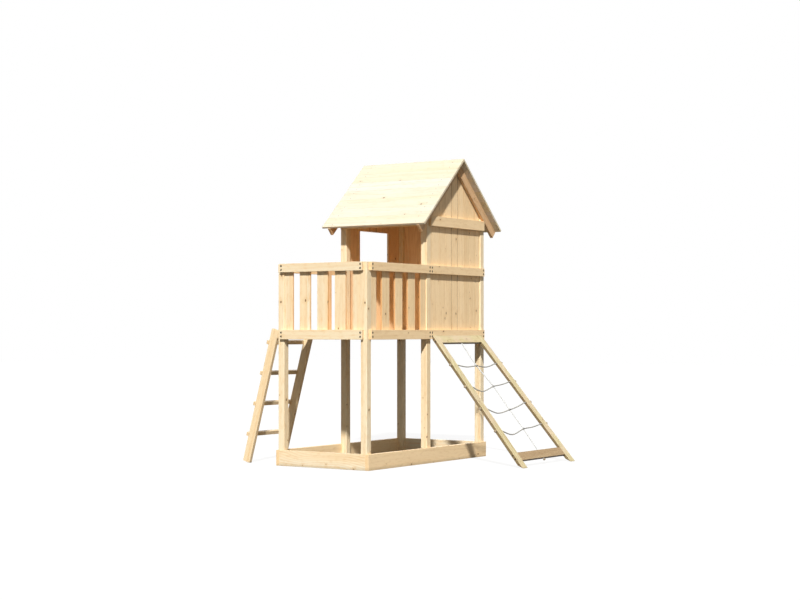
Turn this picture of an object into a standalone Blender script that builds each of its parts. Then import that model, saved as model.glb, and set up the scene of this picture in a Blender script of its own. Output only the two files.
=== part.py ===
"""Stilt playhouse: sandbox frame, balcony, gabled house, ladder and rope-net ramp.

Units are metres and +Z is up. +Y runs from the balcony to the house, +X to the ramp side.
The sizes below are laid out in the tower frame: X = 0 in the middle of the tower's width,
Y = 0 at the front faces of the front posts and Z = 0 on the ground. The empty that carries
every piece then moves the whole playhouse so that its base is centred on the origin.
"""
import math

import bmesh
import bpy
from mathutils import Vector

# Running clearance between pieces that touch
CLEARANCE = 0.0003
# Width of the small chamfer on sawn edges and of the larger one on the posts
EASED_EDGE = 0.0015
POST_CHAMFER = 0.004

# Posts
POST = 0.068
TOWER_WIDTH = 1.000
BALCONY_PITCH = 0.983
HOUSE_PITCH = 0.980

# Rails and boards on the outside of the posts
RAIL_THICKNESS = 0.028
TOP_RAIL_HEIGHT = 0.079
PLATFORM_RAIL_HEIGHT = 0.0875
BASE_BOARD_HEIGHT = 0.095
RAILING_TOP = 1.866
PLATFORM_TOP = 1.2565
BASE_BOARD_BELOW_ROOF = 0.066

# Deck
DECK_TOP = 1.235
DECK_THICKNESS = 0.020
DECK_BOARD_PITCH = 0.145
DECK_JOINT = 0.003
BEARER_THICKNESS = 0.028
BEARER_HEIGHT = 0.045

# Slats and board walls, set back from the posts' outer faces
PANEL_SETBACK = 0.010
PANEL_THICKNESS = 0.018
SLAT_WIDTH = 0.120
END_SLAT_WIDTH = 0.094
SLATS_PER_BAY = 5
SLAT_TOP_INSET = 0.010
LEFT_SLATS_KEPT = (4, 5)
WALL_BOARD_PITCH = 0.112
WALL_GROOVE = 0.002
WALL_WIDE_GROOVE = 0.006
# Place of one joint from a wall's front edge, and the joints counted from it that are wide
WALL_JOINT_PLACE = 0.388
SIDE_WALL_WIDE_JOINTS = (0, 1)

# Window in the left wall, measured from the front of the house bay
WINDOW_START = 0.219
WINDOW_WIDTH = 0.500

# Roof
RIDGE_TOP = 2.910
EAVE_RUN = 0.698
EAVE_HEIGHT = 2.2386
ROOF_THICKNESS = 0.018
VERGE_OVERHANG = 0.091
ROOF_BOARDS = 7
ROOF_JOINT = 0.002
RAFTER_DEPTH = 0.080
RAFTER_TAIL_PROUD = 0.006

# Sandbox frame
SANDBOX_HEIGHT = 0.145
SANDBOX_THICKNESS = 0.037
SANDBOX_PROUD_SIDE = 0.0218
SANDBOX_PROUD_END = 0.006

# Ladder on the left side
LADDER_STOCK = 0.036
LADDER_STRINGER_DEPTH = 0.080
LADDER_WIDTH = 0.566
LADDER_GAP_TO_POST = 0.022
LADDER_SLOPE = 0.279
LADDER_TOP = 1.248
LADDER_STANDOFF = 0.043
RUNG_TOP_CENTRE = 1.139
RUNG_PITCH = 0.289
RUNG_COUNT = 4
RUNG_HOUSING = 0.010
CLEAT_HEIGHT = 0.070

# Net ramp on the right side
RAMP_BOARD_WIDTH = 0.088
RAMP_THICKNESS = 0.028
RAMP_TOP = 1.204
RAMP_RUN = 1.011
RAMP_MIDDLE = 1.487
RAMP_TOP_SPACING = 0.802
RAMP_FOOT_SPACING = 0.924
RAMP_FOOT_TAPER = 0.056
RAMP_LOW_BAR_FROM_FOOT = 0.090

# Rope net
ROPE_DIAMETER = 0.012
ROPE_SIDES = 8
ROPE_STEP = 0.028
ROPE_BORE = 0.016
BORE_SIDES = 16
CROSS_ROPES = 4
KNOT_DIAMETER = 0.030
CROSSING_KNOT_DIAMETER = 0.027
ROPE_BLIND_DEPTH = 0.040
# How much higher up the back rail than the front one each cross rope passes through
BACK_ROPE_RISES = (0.0, 0.030, 0.034, 0.030)

# Places worked out from the sizes above
HALF_WIDTH = TOWER_WIDTH / 2
MIDDLE_POST = BALCONY_PITCH
BACK_POST = BALCONY_PITCH + HOUSE_PITCH
TOWER_DEPTH = BACK_POST + POST
SIDE_POSTS = (0.0, MIDDLE_POST, BACK_POST)
RIDGE_Y = MIDDLE_POST + (HOUSE_PITCH + POST) / 2

SPRUCE = (0.80, 0.62, 0.38)
SHADED_SPRUCE = (0.72, 0.50, 0.28)
ROOF_SPRUCE = (0.88, 0.76, 0.52)
TREATED_PINE = (0.52, 0.45, 0.26)
ROPE_GREY = (0.55, 0.55, 0.52)


def remove_everything():
    for item in list(bpy.data.objects):
        bpy.data.objects.remove(item, do_unlink=True)


def material(name, colour, roughness):
    made = bpy.data.materials.new(name)
    made.use_nodes = True
    shader = made.node_tree.nodes["Principled BSDF"]
    shader.inputs["Base Color"].default_value = (*colour, 1.0)
    shader.inputs["Roughness"].default_value = roughness
    shader.inputs["Metallic"].default_value = 0.0
    made.diffuse_color = (*colour, 1.0)
    return made


def post_wood():
    return material("post_wood", SPRUCE, 0.60)


def rail_wood():
    return material("rail_wood", SPRUCE, 0.62)


def board_wood():
    return material("board_wood", SHADED_SPRUCE, 0.65)


def roof_wood():
    return material("roof_wood", ROOF_SPRUCE, 0.65)


def treated_wood():
    return material("treated_wood", TREATED_PINE, 0.68)


def rope_fibre():
    return material("rope_fibre", ROPE_GREY, 0.85)


def carrier(name, place):
    empty = bpy.data.objects.new(name, None)
    empty.location = place
    bpy.context.scene.collection.objects.link(empty)
    return empty


def new_object(name, mesh, surface):
    piece = bpy.data.objects.new(name, mesh)
    bpy.context.scene.collection.objects.link(piece)
    if surface is not None:
        mesh.materials.append(surface)
    return piece


def prism_faces(shape, near, far):
    """Caps and sides between two matching loops of vertices."""
    count = len(near)
    shape.faces.new(near)
    shape.faces.new(far)
    for index in range(count):
        following = (index + 1) % count
        shape.faces.new((near[index], near[following], far[following], far[index]))


def placed(axis, along, first, second):
    if axis == "X":
        return Vector((along, first, second))
    if axis == "Y":
        return Vector((first, along, second))
    return Vector((first, second, along))


def prism(name, axis, outlines, spans, surface):
    """Solids made by carrying each outline along an axis, joined into one mesh.

    An outline is a list of points in the two other axes, in X, Y, Z order.
    """
    shape = bmesh.new()
    for outline, (start, end) in zip(outlines, spans):
        near = [shape.verts.new(placed(axis, start, *point)) for point in outline]
        far = [shape.verts.new(placed(axis, end, *point)) for point in outline]
        prism_faces(shape, near, far)
    bmesh.ops.recalc_face_normals(shape, faces=shape.faces)
    mesh = bpy.data.meshes.new(name)
    shape.to_mesh(mesh)
    shape.free()
    return new_object(name, mesh, surface)


def rectangle(low, high):
    return [(low[0], low[1]), (high[0], low[1]), (high[0], high[1]), (low[0], high[1])]


def block(name, low, high, surface):
    return prism(name, "Z", [rectangle(low, high)], [(low[2], high[2])], surface)


def ease_edges(piece, width=EASED_EDGE):
    bevel = piece.modifiers.new("eased_edges", "BEVEL")
    bevel.width = width
    bevel.segments = 1
    bevel.limit_method = "ANGLE"
    bevel.angle_limit = math.radians(60)


def cutter(piece):
    piece.hide_render = True
    piece.display_type = "WIRE"
    return piece


def cut_away(piece, tool):
    cut = piece.modifiers.new("cut_" + tool.name, "BOOLEAN")
    cut.operation = "DIFFERENCE"
    cut.solver = "EXACT"
    cut.object = tool


def join_to(piece, part):
    union = piece.modifiers.new("join_" + part.name, "BOOLEAN")
    union.operation = "UNION"
    union.solver = "EXACT"
    union.object = part


def on_side(side, along, outward):
    """A plan point at a distance along one side of the tower and out from its posts."""
    if side == "front":
        return (along, -outward)
    if side == "back":
        return (along, TOWER_DEPTH + outward)
    if side == "left":
        return (-HALF_WIDTH - outward, along)
    return (HALF_WIDTH + outward, along)


def bay_of(side, first, last):
    """Front edges of the two posts that a stretch of a side runs between."""
    if side in ("front", "back"):
        return (-HALF_WIDTH, HALF_WIDTH - POST)
    return (SIDE_POSTS[first], SIDE_POSTS[last])


def clear_spans(side, first, last):
    """Stretches of a side that are free between the posts from first to last."""
    if side in ("front", "back"):
        return [(POST - HALF_WIDTH, HALF_WIDTH - POST)]
    return [(SIDE_POSTS[n] + POST, SIDE_POSTS[n + 1]) for n in range(first, last)]


def rail_outline(side, first, last):
    """Plan of a rail: a board on the posts with a packer in each bay for the panels."""
    start, end = bay_of(side, first, last)
    start += POST / 2 + CLEARANCE
    end += POST / 2 - CLEARANCE
    outer = RAIL_THICKNESS + CLEARANCE
    packer = CLEARANCE - PANEL_SETBACK
    points = [(start, outer), (end, outer), (end, CLEARANCE)]
    for low, high in reversed(clear_spans(side, first, last)):
        points += [(high - CLEARANCE, CLEARANCE), (high - CLEARANCE, packer)]
        points += [(low + CLEARANCE, packer), (low + CLEARANCE, CLEARANCE)]
    points.append((start, CLEARANCE))
    return [on_side(side, along, outward) for along, outward in points]


def rail(name, side, first, last, top, height, surface):
    piece = prism(name, "Z", [rail_outline(side, first, last)], [(top - height, top)], surface)
    ease_edges(piece)
    return piece


def roof_tangent():
    """Slope of the roof's underside, from the eave to the ridge."""
    rise = RIDGE_TOP - EAVE_HEIGHT
    tangent = rise / EAVE_RUN
    for _ in range(20):
        tangent = (rise - ROOF_THICKNESS * math.hypot(1.0, tangent)) / EAVE_RUN
    return tangent


ROOF_TANGENT = roof_tangent()
ROOF_SECANT = math.hypot(1.0, ROOF_TANGENT)
UNDERSIDE_RIDGE = RIDGE_TOP - ROOF_THICKNESS * ROOF_SECANT
ROOF_OVER_POSTS = UNDERSIDE_RIDGE - ROOF_TANGENT * (RIDGE_Y - MIDDLE_POST)
BASE_BOARD_TOP = ROOF_OVER_POSTS - BASE_BOARD_BELOW_ROOF


def gable_void(name, depth):
    """Everything above a line that lies a depth below the roof's underside."""
    reach = EAVE_RUN * 2
    apex = UNDERSIDE_RIDGE - depth * ROOF_SECANT
    low = apex - reach * ROOF_TANGENT
    above = RIDGE_TOP + reach
    outline = [(RIDGE_Y - reach, low), (RIDGE_Y, apex), (RIDGE_Y + reach, low)]
    outline += [(RIDGE_Y + reach, above), (RIDGE_Y - reach, above)]
    width = HALF_WIDTH * 2
    return cutter(prism(name, "X", [outline], [(-width, width)], None))


def board_spans():
    """Inner faces of the sandbox boards, as the half width and the two ends."""
    side = HALF_WIDTH + SANDBOX_PROUD_SIDE - SANDBOX_THICKNESS
    front = SANDBOX_THICKNESS - SANDBOX_PROUD_END
    return side, front, TOWER_DEPTH - front


def sandbox_voids():
    """Room for the sandbox boards at the posts' feet, for the sides and for the ends."""
    side, front, back = board_spans()
    side -= CLEARANCE
    top = SANDBOX_HEIGHT + CLEARANCE
    low = -SANDBOX_HEIGHT
    reach = TOWER_DEPTH * 2
    width = TOWER_WIDTH * 2
    sides = [rectangle((-width, -reach), (-side, reach)), rectangle((side, -reach), (width, reach))]
    ends = [rectangle((-width, -reach), (width, front + CLEARANCE))]
    ends.append(rectangle((-width, back - CLEARANCE), (width, reach)))
    spans = [(low, top), (low, top)]
    return (cutter(prism("side_board_room", "Z", sides, spans, None)),
            cutter(prism("end_board_room", "Z", ends, spans, None)))


def build_posts(surface, roof_room):
    side_room, end_room = sandbox_voids()
    names = ("front", "middle", "back")
    for row, start in enumerate(SIDE_POSTS):
        for side, left in (("left", -HALF_WIDTH), ("right", HALF_WIDTH - POST)):
            top = RAILING_TOP if row == 0 else RIDGE_TOP
            low = (left, start, 0.0)
            high = (left + POST, start + POST, top)
            post = block(f"post_{names[row]}_{side}", low, high, surface)
            ease_edges(post, POST_CHAMFER)
            cut_away(post, side_room)
            if row != 1:
                cut_away(post, end_room)
            if row != 0:
                cut_away(post, roof_room)


def build_sandbox(surface):
    side_inner, front_inner, back_inner = board_spans()
    side_outer = side_inner + SANDBOX_THICKNESS
    front = front_inner - SANDBOX_THICKNESS
    back = back_inner + SANDBOX_THICKNESS
    between = side_inner - CLEARANCE
    top = SANDBOX_HEIGHT
    boards = {
        "sandbox_board_left": ((-side_outer, front, 0), (-side_inner, back, top)),
        "sandbox_board_right": ((side_inner, front, 0), (side_outer, back, top)),
        "sandbox_board_front": ((-between, front, 0), (between, front_inner, top)),
        "sandbox_board_back": ((-between, back_inner, 0), (between, back, top)),
    }
    for name, (low, high) in boards.items():
        ease_edges(block(name, low, high, surface))


def build_rails(surface, rafter_room):
    top, height = PLATFORM_TOP, PLATFORM_RAIL_HEIGHT
    rail("platform_rail_front", "front", 0, 0, top, height, surface)
    rail("platform_rail_back", "back", 0, 0, top, height, surface)
    rail("platform_rail_left", "left", 0, 2, top, height, surface)
    rail("platform_rail_right_balcony", "right", 0, 1, top, height, surface)
    rail("platform_rail_right_house", "right", 1, 2, top, height, surface)
    top, height = RAILING_TOP, TOP_RAIL_HEIGHT
    rail("top_rail_front", "front", 0, 0, top, height, surface)
    rail("top_rail_left", "left", 0, 1, top, height, surface)
    rail("top_rail_right", "right", 0, 1, top, height, surface)
    rail("house_rail_left", "left", 1, 2, top, height, surface)
    rail("house_rail_right", "right", 1, 2, top, height, surface)
    top, height = BASE_BOARD_TOP, BASE_BOARD_HEIGHT
    rail("base_board_back", "back", 0, 0, top, height, surface)
    for side in ("left", "right"):
        base = rail(f"base_board_{side}", side, 1, 2, top, height, surface)
        cut_away(base, rafter_room)
    build_eave_beam(surface)


def build_eave_beam(surface):
    """Beam across the open front of the house, on the front faces of the middle posts."""
    reach = HALF_WIDTH - POST / 2
    face = MIDDLE_POST - CLEARANCE
    low = (-reach, face - RAIL_THICKNESS, BASE_BOARD_TOP - BASE_BOARD_HEIGHT)
    high = (reach, face, BASE_BOARD_TOP)
    ease_edges(block("front_eave_beam", low, high, surface))


def deck_profile(front, back):
    """Side view of the deck, with a small open joint between boards in its top."""
    low = DECK_TOP - DECK_THICKNESS
    points = [(front, low), (back, low), (back, DECK_TOP)]
    count = int((back - front) / DECK_BOARD_PITCH)
    for board in range(count, 0, -1):
        joint = front + board * DECK_BOARD_PITCH
        points.append((joint + DECK_JOINT, DECK_TOP))
        points.append((joint, DECK_TOP - DECK_JOINT))
        points.append((joint - DECK_JOINT, DECK_TOP))
    points.append((front, DECK_TOP))
    return points


def post_room():
    """Room for all six posts through the deck."""
    outlines = []
    for start in SIDE_POSTS:
        low, high = start - CLEARANCE, start + POST + CLEARANCE
        if start == 0.0:
            low -= POST
        if start == BACK_POST:
            high += POST
        inner = HALF_WIDTH - POST - CLEARANCE
        outlines.append(rectangle((-TOWER_WIDTH, low), (-inner, high)))
        outlines.append(rectangle((inner, low), (TOWER_WIDTH, high)))
    spans = [(DECK_TOP - POST, DECK_TOP + POST)] * len(outlines)
    return cutter(prism("post_room", "Z", outlines, spans, None))


def build_deck(surface):
    edge = PANEL_SETBACK
    width = HALF_WIDTH - edge
    profile = deck_profile(edge, TOWER_DEPTH - edge)
    deck = prism("deck", "X", [profile], [(-width, width)], surface)
    cut_away(deck, post_room())
    top = DECK_TOP - DECK_THICKNESS - CLEARANCE
    outer = HALF_WIDTH - POST - CLEARANCE
    for side, sign in (("left", -1), ("right", 1)):
        ends = sorted((sign * outer, sign * (outer - BEARER_THICKNESS)))
        low = (ends[0], edge, top - BEARER_HEIGHT)
        high = (ends[1], TOWER_DEPTH - edge, top)
        ease_edges(block(f"deck_bearer_{side}", low, high, surface))


def slat_starts(low, high):
    """Start and width of each slat in a bay: narrow ones at the posts, equal gaps."""
    wide = (SLATS_PER_BAY - 2) * SLAT_WIDTH + 2 * END_SLAT_WIDTH
    gap = (high - low - wide) / (SLATS_PER_BAY - 1)
    starts = []
    place = low
    for number in range(SLATS_PER_BAY):
        width = END_SLAT_WIDTH if number in (0, SLATS_PER_BAY - 1) else SLAT_WIDTH
        starts.append((place, width))
        place += width + gap
    return starts


def build_slats(surface):
    span = (DECK_TOP + CLEARANCE, RAILING_TOP - SLAT_TOP_INSET)
    kept = {"front": range(1, SLATS_PER_BAY + 1), "right": range(1, SLATS_PER_BAY + 1)}
    kept["left"] = LEFT_SLATS_KEPT
    for side, numbers in kept.items():
        low, high = clear_spans(side, 0, 1)[0]
        slats = slat_starts(low + CLEARANCE, high - CLEARANCE)
        for number in numbers:
            start, width = slats[number - 1]
            outer = on_side(side, start, -PANEL_SETBACK)
            inner = on_side(side, start + width, -PANEL_SETBACK - PANEL_THICKNESS)
            corners = [tuple(sorted(pair)) for pair in zip(outer, inner)]
            outline = rectangle((corners[0][0], corners[1][0]), (corners[0][1], corners[1][1]))
            ease_edges(prism(f"slat_{side}_{number}", "Z", [outline], [span], surface))


def grooved_line(low, high, wide_joints):
    """Points along a board wall's face: a distance along it and how deep it is there."""
    points = [(low, 0.0)]
    margin = WALL_WIDE_GROOVE * 2
    number = -int((WALL_JOINT_PLACE - margin) / WALL_BOARD_PITCH)
    place = low + WALL_JOINT_PLACE + number * WALL_BOARD_PITCH
    while place < high - margin:
        deep = WALL_WIDE_GROOVE if number in wide_joints else WALL_GROOVE
        half = deep * 0.6
        points += [(place - half, 0.0), (place, deep), (place + half, 0.0)]
        number += 1
        place += WALL_BOARD_PITCH
    points.append((high, 0.0))
    return points


def wall_outline(side, low, high):
    """Plan of a wall of upright boards, grooved at each joint on both faces."""
    line = grooved_line(low, high, () if side == "back" else SIDE_WALL_WIDE_JOINTS)
    outer = [on_side(side, along, -PANEL_SETBACK - deep) for along, deep in line]
    back = PANEL_SETBACK + PANEL_THICKNESS
    inner = [on_side(side, along, deep - back) for along, deep in reversed(line)]
    return outer + inner


def window_room():
    low, _ = clear_spans("left", 1, 2)[0]
    start = low + WINDOW_START
    bottom = RAILING_TOP
    top = BASE_BOARD_TOP - BASE_BOARD_HEIGHT
    reach = HALF_WIDTH + POST
    outline = rectangle((-reach, start), (POST - HALF_WIDTH, start + WINDOW_WIDTH))
    return cutter(prism("window_room", "Z", [outline], [(bottom, top)], None))


def build_walls(surface, roof_room):
    bottom = DECK_TOP + CLEARANCE
    low, high = clear_spans("left", 1, 2)[0]
    span = (low + CLEARANCE, high - CLEARANCE)
    for side in ("left", "right"):
        outline = wall_outline(side, *span)
        wall = prism(f"wall_{side}", "Z", [outline], [(bottom, RIDGE_TOP)], surface)
        cut_away(wall, roof_room)
        if side == "left":
            cut_away(wall, window_room())
    low, high = clear_spans("back", 0, 0)[0]
    outline = wall_outline("back", low + CLEARANCE, high - CLEARANCE)
    wall = prism("wall_back", "Z", [outline], [(bottom, RIDGE_TOP)], surface)
    cut_away(wall, roof_room)


def slope_point(along, above):
    """A point of the front roof slope: distance up from the eave, height over its underside."""
    run = along / ROOF_SECANT - above * ROOF_TANGENT / ROOF_SECANT
    rise = along * ROOF_TANGENT / ROOF_SECANT + above / ROOF_SECANT
    return (RIDGE_Y - EAVE_RUN + run, EAVE_HEIGHT + rise)


def mirrored(points, sign):
    """Points of the front slope, or the same points on the back slope."""
    return [(RIDGE_Y + sign * (RIDGE_Y - y), z) for y, z in points]


def roof_outline():
    """Side view of the front slope: boards with a small groove at each joint."""
    length = EAVE_RUN * ROOF_SECANT
    top_length = length + ROOF_THICKNESS * ROOF_TANGENT
    plumb = CLEARANCE * ROOF_SECANT
    points = [slope_point(0, 0), slope_point(length - plumb, 0)]
    points.append(slope_point(top_length - plumb, ROOF_THICKNESS))
    pitch = length / ROOF_BOARDS
    for board in range(ROOF_BOARDS - 1, 0, -1):
        joint = board * pitch
        points.append(slope_point(joint + ROOF_JOINT, ROOF_THICKNESS))
        points.append(slope_point(joint, ROOF_THICKNESS - ROOF_JOINT))
        points.append(slope_point(joint - ROOF_JOINT, ROOF_THICKNESS))
    points.append(slope_point(0, ROOF_THICKNESS))
    return points


def build_roof(surface, rafter_surface):
    verge = HALF_WIDTH + VERGE_OVERHANG
    length = EAVE_RUN * ROOF_SECANT
    inner = HALF_WIDTH + CLEARANCE
    top = -CLEARANCE
    bottom = top - RAFTER_DEPTH
    plumb = CLEARANCE * ROOF_SECANT
    rafter = [slope_point(-RAFTER_TAIL_PROUD, top), slope_point(-RAFTER_TAIL_PROUD, bottom)]
    rafter.append(slope_point(length + bottom * ROOF_TANGENT - plumb, bottom))
    rafter.append(slope_point(length + top * ROOF_TANGENT - plumb, top))
    for slope, sign in (("front", -1), ("back", 1)):
        outline = mirrored(roof_outline(), sign)
        prism(f"roof_{slope}", "X", [outline], [(-verge, verge)], surface)
        for side, start in (("left", -inner - RAIL_THICKNESS), ("right", inner)):
            name = f"rafter_{slope}_{side}"
            span = (start, start + RAIL_THICKNESS)
            ease_edges(prism(name, "X", [mirrored(rafter, sign)], [span], rafter_surface))


def ladder_point(along, outward):
    """A side-view point of the ladder: distance up its inner edge and out from it."""
    lean = math.atan(LADDER_SLOPE)
    top_x = -HALF_WIDTH - RAIL_THICKNESS - LADDER_STANDOFF
    foot_x = top_x - LADDER_TOP * LADDER_SLOPE
    x = foot_x + along * math.sin(lean) - outward * math.cos(lean)
    z = along * math.cos(lean) + outward * math.sin(lean)
    return (x, z)


def ladder_rectangle(low, high, inner, outer):
    return [ladder_point(low, inner), ladder_point(high, inner),
            ladder_point(high, outer), ladder_point(low, outer)]


def rung_sections(margin):
    """Side views of the rungs, each grown by a margin on every face."""
    slope_length = math.hypot(1.0, LADDER_SLOPE)
    inner = LADDER_STRINGER_DEPTH - RUNG_HOUSING
    middle_out = inner + LADDER_STOCK / 2
    sections = []
    for number in range(RUNG_COUNT):
        height = RUNG_TOP_CENTRE - number * RUNG_PITCH
        rise_out = middle_out * LADDER_SLOPE / slope_length
        along = (height - rise_out) * slope_length
        half = LADDER_STOCK / 2 + margin
        sections.append(ladder_rectangle(along - half, along + half, inner - margin,
                                         inner + LADDER_STOCK + margin))
    return sections


def build_ladder(surface):
    front = POST + LADDER_GAP_TO_POST
    back = front + LADDER_WIDTH
    reach = (front - LADDER_STOCK, back + LADDER_STOCK)
    sections = rung_sections(CLEARANCE)
    housings = cutter(prism("rung_housings", "Y", sections, [reach] * RUNG_COUNT, None))
    length = LADDER_TOP * math.hypot(1.0, LADDER_SLOPE)
    outline = ladder_rectangle(0.0, length, 0.0, LADDER_STRINGER_DEPTH)
    for place, start in (("front", front), ("back", back - LADDER_STOCK)):
        span = (start, start + LADDER_STOCK)
        stringer = prism(f"ladder_stringer_{place}", "Y", [outline], [span], surface)
        ease_edges(stringer)
        cut_away(stringer, housings)
    for number, section in enumerate(rung_sections(0.0), start=1):
        rung = prism(f"ladder_rung_{number}", "Y", [section], [(front, back)], surface)
        ease_edges(rung)
    build_cleat(front, back, length, surface)


def build_cleat(front, back, length, surface):
    """Tapered block that fills the space between the platform rail and the stringers."""
    slope_length = math.hypot(1.0, LADDER_SLOPE)
    wall = -HALF_WIDTH - RAIL_THICKNESS - 2 * CLEARANCE
    high = ladder_point(length, -CLEARANCE)
    low = ladder_point(length - CLEAT_HEIGHT * slope_length, -CLEARANCE)
    outline = [(wall, low[1]), low, high, (wall, high[1])]
    ease_edges(prism("ladder_cleat", "Y", [outline], [(front, back)], surface))


RAMP_LENGTH = math.hypot(RAMP_RUN, RAMP_TOP)
RAMP_DOWN = Vector((RAMP_RUN / RAMP_LENGTH, 0.0, -RAMP_TOP / RAMP_LENGTH))
RAMP_OUT = Vector((RAMP_TOP / RAMP_LENGTH, 0.0, RAMP_RUN / RAMP_LENGTH))


def ramp_point(down, outward, y=0.0):
    """A point at a distance down the ramp's outer face and out from that face."""
    wall = HALF_WIDTH + RAIL_THICKNESS + 2 * CLEARANCE
    top = Vector((wall, y, RAMP_TOP))
    return top + RAMP_DOWN * down + RAMP_OUT * outward


def ramp_half_spacing(height):
    """Half the distance between the rails' front faces at a height."""
    share = 1.0 - height / RAMP_TOP
    return (RAMP_TOP_SPACING + (RAMP_FOOT_SPACING - RAMP_TOP_SPACING) * share) / 2


def splayed_prism(name, outline, near_edge, far_edge, surface):
    """A side-view outline carried across the ramp between two edges that splay."""
    shape = bmesh.new()
    near = [shape.verts.new((p.x, near_edge(p.z), p.z)) for p in outline]
    far = [shape.verts.new((p.x, far_edge(p.z), p.z)) for p in outline]
    prism_faces(shape, near, far)
    bmesh.ops.recalc_face_normals(shape, faces=shape.faces)
    mesh = bpy.data.meshes.new(name)
    shape.to_mesh(mesh)
    shape.free()
    piece = new_object(name, mesh, surface)
    ease_edges(piece)
    return piece


def ramp_edge(sign, outward):
    """Y of a rail's edge at a height: sign picks the rail, outward its outer edge."""
    middle = RAMP_MIDDLE

    def edge(height):
        return middle + sign * (ramp_half_spacing(height) + outward)

    return edge


def cross_rope_places():
    """Distances down the ramp of the cross ropes, evenly between the two crossbars."""
    low_bar = RAMP_LENGTH - RAMP_LOW_BAR_FROM_FOOT - RAMP_BOARD_WIDTH
    gap = (low_bar - RAMP_BOARD_WIDTH) / (CROSS_ROPES + 1)
    return [RAMP_BOARD_WIDTH + gap * (number + 1) for number in range(CROSS_ROPES)]


def rope_end_places(number, down):
    """Distances down the front and the back rail where a cross rope passes through them."""
    return down, down - BACK_ROPE_RISES[number]


def bore(name, start, end, surface=None):
    """A straight round cutter for a rope."""
    path = [start, end]
    return cutter(tube(name, path, ROPE_BORE / 2, BORE_SIDES, surface))


def tube(name, path, radius, sides, surface):
    """A round tube with flat ends along a list of points."""
    shape = bmesh.new()
    rings = []
    side = None
    for index, point in enumerate(path):
        before = path[max(index - 1, 0)]
        after = path[min(index + 1, len(path) - 1)]
        forward = (after - before).normalized()
        if side is None:
            side = forward.orthogonal().normalized()
        side = (side - forward * side.dot(forward)).normalized()
        up = forward.cross(side)
        ring = []
        for step in range(sides):
            angle = 2 * math.pi * step / sides
            offset = side * math.cos(angle) + up * math.sin(angle)
            ring.append(shape.verts.new(point + offset * radius))
        rings.append(ring)
    for lower, upper in zip(rings, rings[1:]):
        for step in range(sides):
            following = (step + 1) % sides
            shape.faces.new((lower[step], lower[following], upper[following], upper[step]))
    shape.faces.new(rings[0])
    shape.faces.new(rings[-1])
    bmesh.ops.recalc_face_normals(shape, faces=shape.faces)
    for face in shape.faces:
        face.smooth = len(face.verts) == 4
    mesh = bpy.data.meshes.new(name)
    shape.to_mesh(mesh)
    shape.free()
    return new_object(name, mesh, surface)


def build_ramp(surface):
    width = RAMP_BOARD_WIDTH
    plumb_drop = RAMP_THICKNESS * RAMP_TOP / RAMP_RUN
    foot = RAMP_LENGTH
    outline = [ramp_point(0, 0), ramp_point(foot, 0)]
    outline.append(ramp_point(foot - RAMP_FOOT_TAPER, -RAMP_THICKNESS))
    outline.append(ramp_point(plumb_drop, -RAMP_THICKNESS))
    places = cross_rope_places()
    for place, sign in (("front", -1), ("back", 1)):
        inner = ramp_edge(sign, -width / 2)
        outer = ramp_edge(sign, width / 2)
        piece = splayed_prism(f"ramp_rail_{place}", outline, inner, outer, surface)
        for number, down in enumerate(places):
            down = rope_end_places(number, down)[0 if sign < 0 else 1]
            middle = ramp_point(down, -RAMP_THICKNESS / 2)
            start = Vector((middle.x, inner(middle.z) - sign * width, middle.z))
            end = Vector((middle.x, outer(middle.z) + sign * width, middle.z))
            cut_away(piece, bore(f"bore_{place}_{number + 1}", start, end))
    gap = width / 2 + CLEARANCE
    near, far = ramp_edge(-1, -gap), ramp_edge(1, -gap)
    low_end = foot - RAMP_LOW_BAR_FROM_FOOT
    top_slip = RAMP_THICKNESS * RAMP_TOP / RAMP_RUN
    top_bar = [ramp_point(0, 0), ramp_point(width, 0), ramp_point(width, -RAMP_THICKNESS)]
    top_bar.append(ramp_point(top_slip, -RAMP_THICKNESS))
    low_bar = [ramp_point(low_end - width, 0), ramp_point(low_end, 0)]
    low_bar += [ramp_point(low_end, -RAMP_THICKNESS), ramp_point(low_end - width, -RAMP_THICKNESS)]
    depth = -RAMP_THICKNESS / 2
    blind = ramp_point(width - ROPE_BLIND_DEPTH - CLEARANCE, depth, RAMP_MIDDLE)
    piece = splayed_prism("ramp_crossbar_top", top_bar, near, far, surface)
    cut_away(piece, bore("bore_top", blind, ramp_point(width * 2, depth, RAMP_MIDDLE)))
    piece = splayed_prism("ramp_crossbar_foot", low_bar, near, far, surface)
    start = ramp_point(low_end - width * 2, depth, RAMP_MIDDLE)
    end = ramp_point(low_end + width, depth, RAMP_MIDDLE)
    cut_away(piece, bore("bore_foot", start, end))


def smooth_path(points, step):
    """Points at about a step apart on a Catmull-Rom curve through the given points."""
    padded = [points[0] * 2 - points[1]] + points + [points[-1] * 2 - points[-2]]
    path = []
    for index in range(1, len(padded) - 2):
        a, b, c, d = padded[index - 1:index + 3]
        count = max(1, round((c - b).length / step))
        for number in range(count):
            t = number / count
            curve = b * 2 + (c - a) * t + (a * 2 - b * 5 + c * 4 - d) * t ** 2
            curve += (b * 3 - a - c * 3 + d) * t ** 3
            path.append(curve / 2)
    path.append(points[-1])
    return path


def knot(name, centre, diameter, surface):
    shape = bmesh.new()
    bmesh.ops.create_uvsphere(shape, u_segments=10, v_segments=7, radius=diameter / 2)
    bmesh.ops.translate(shape, verts=shape.verts, vec=centre)
    for face in shape.faces:
        face.smooth = True
    mesh = bpy.data.meshes.new(name)
    shape.to_mesh(mesh)
    shape.free()
    return new_object(name, mesh, surface)


# Sag of each cross rope, from the top rope down: how far its front half and its back half
# hang below a straight line
ROPE_SAGS = ((0.015, 0.022), (0.046, 0.004), (0.038, 0.006), (0.044, 0.006))
# Where each crossing knot sits: its shift down the ramp and across it from the middle
ROPE_CROSSINGS = ((0.021, -0.019), (0.014, 0.020), (0.036, 0.012), (0.006, 0.015))


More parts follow.
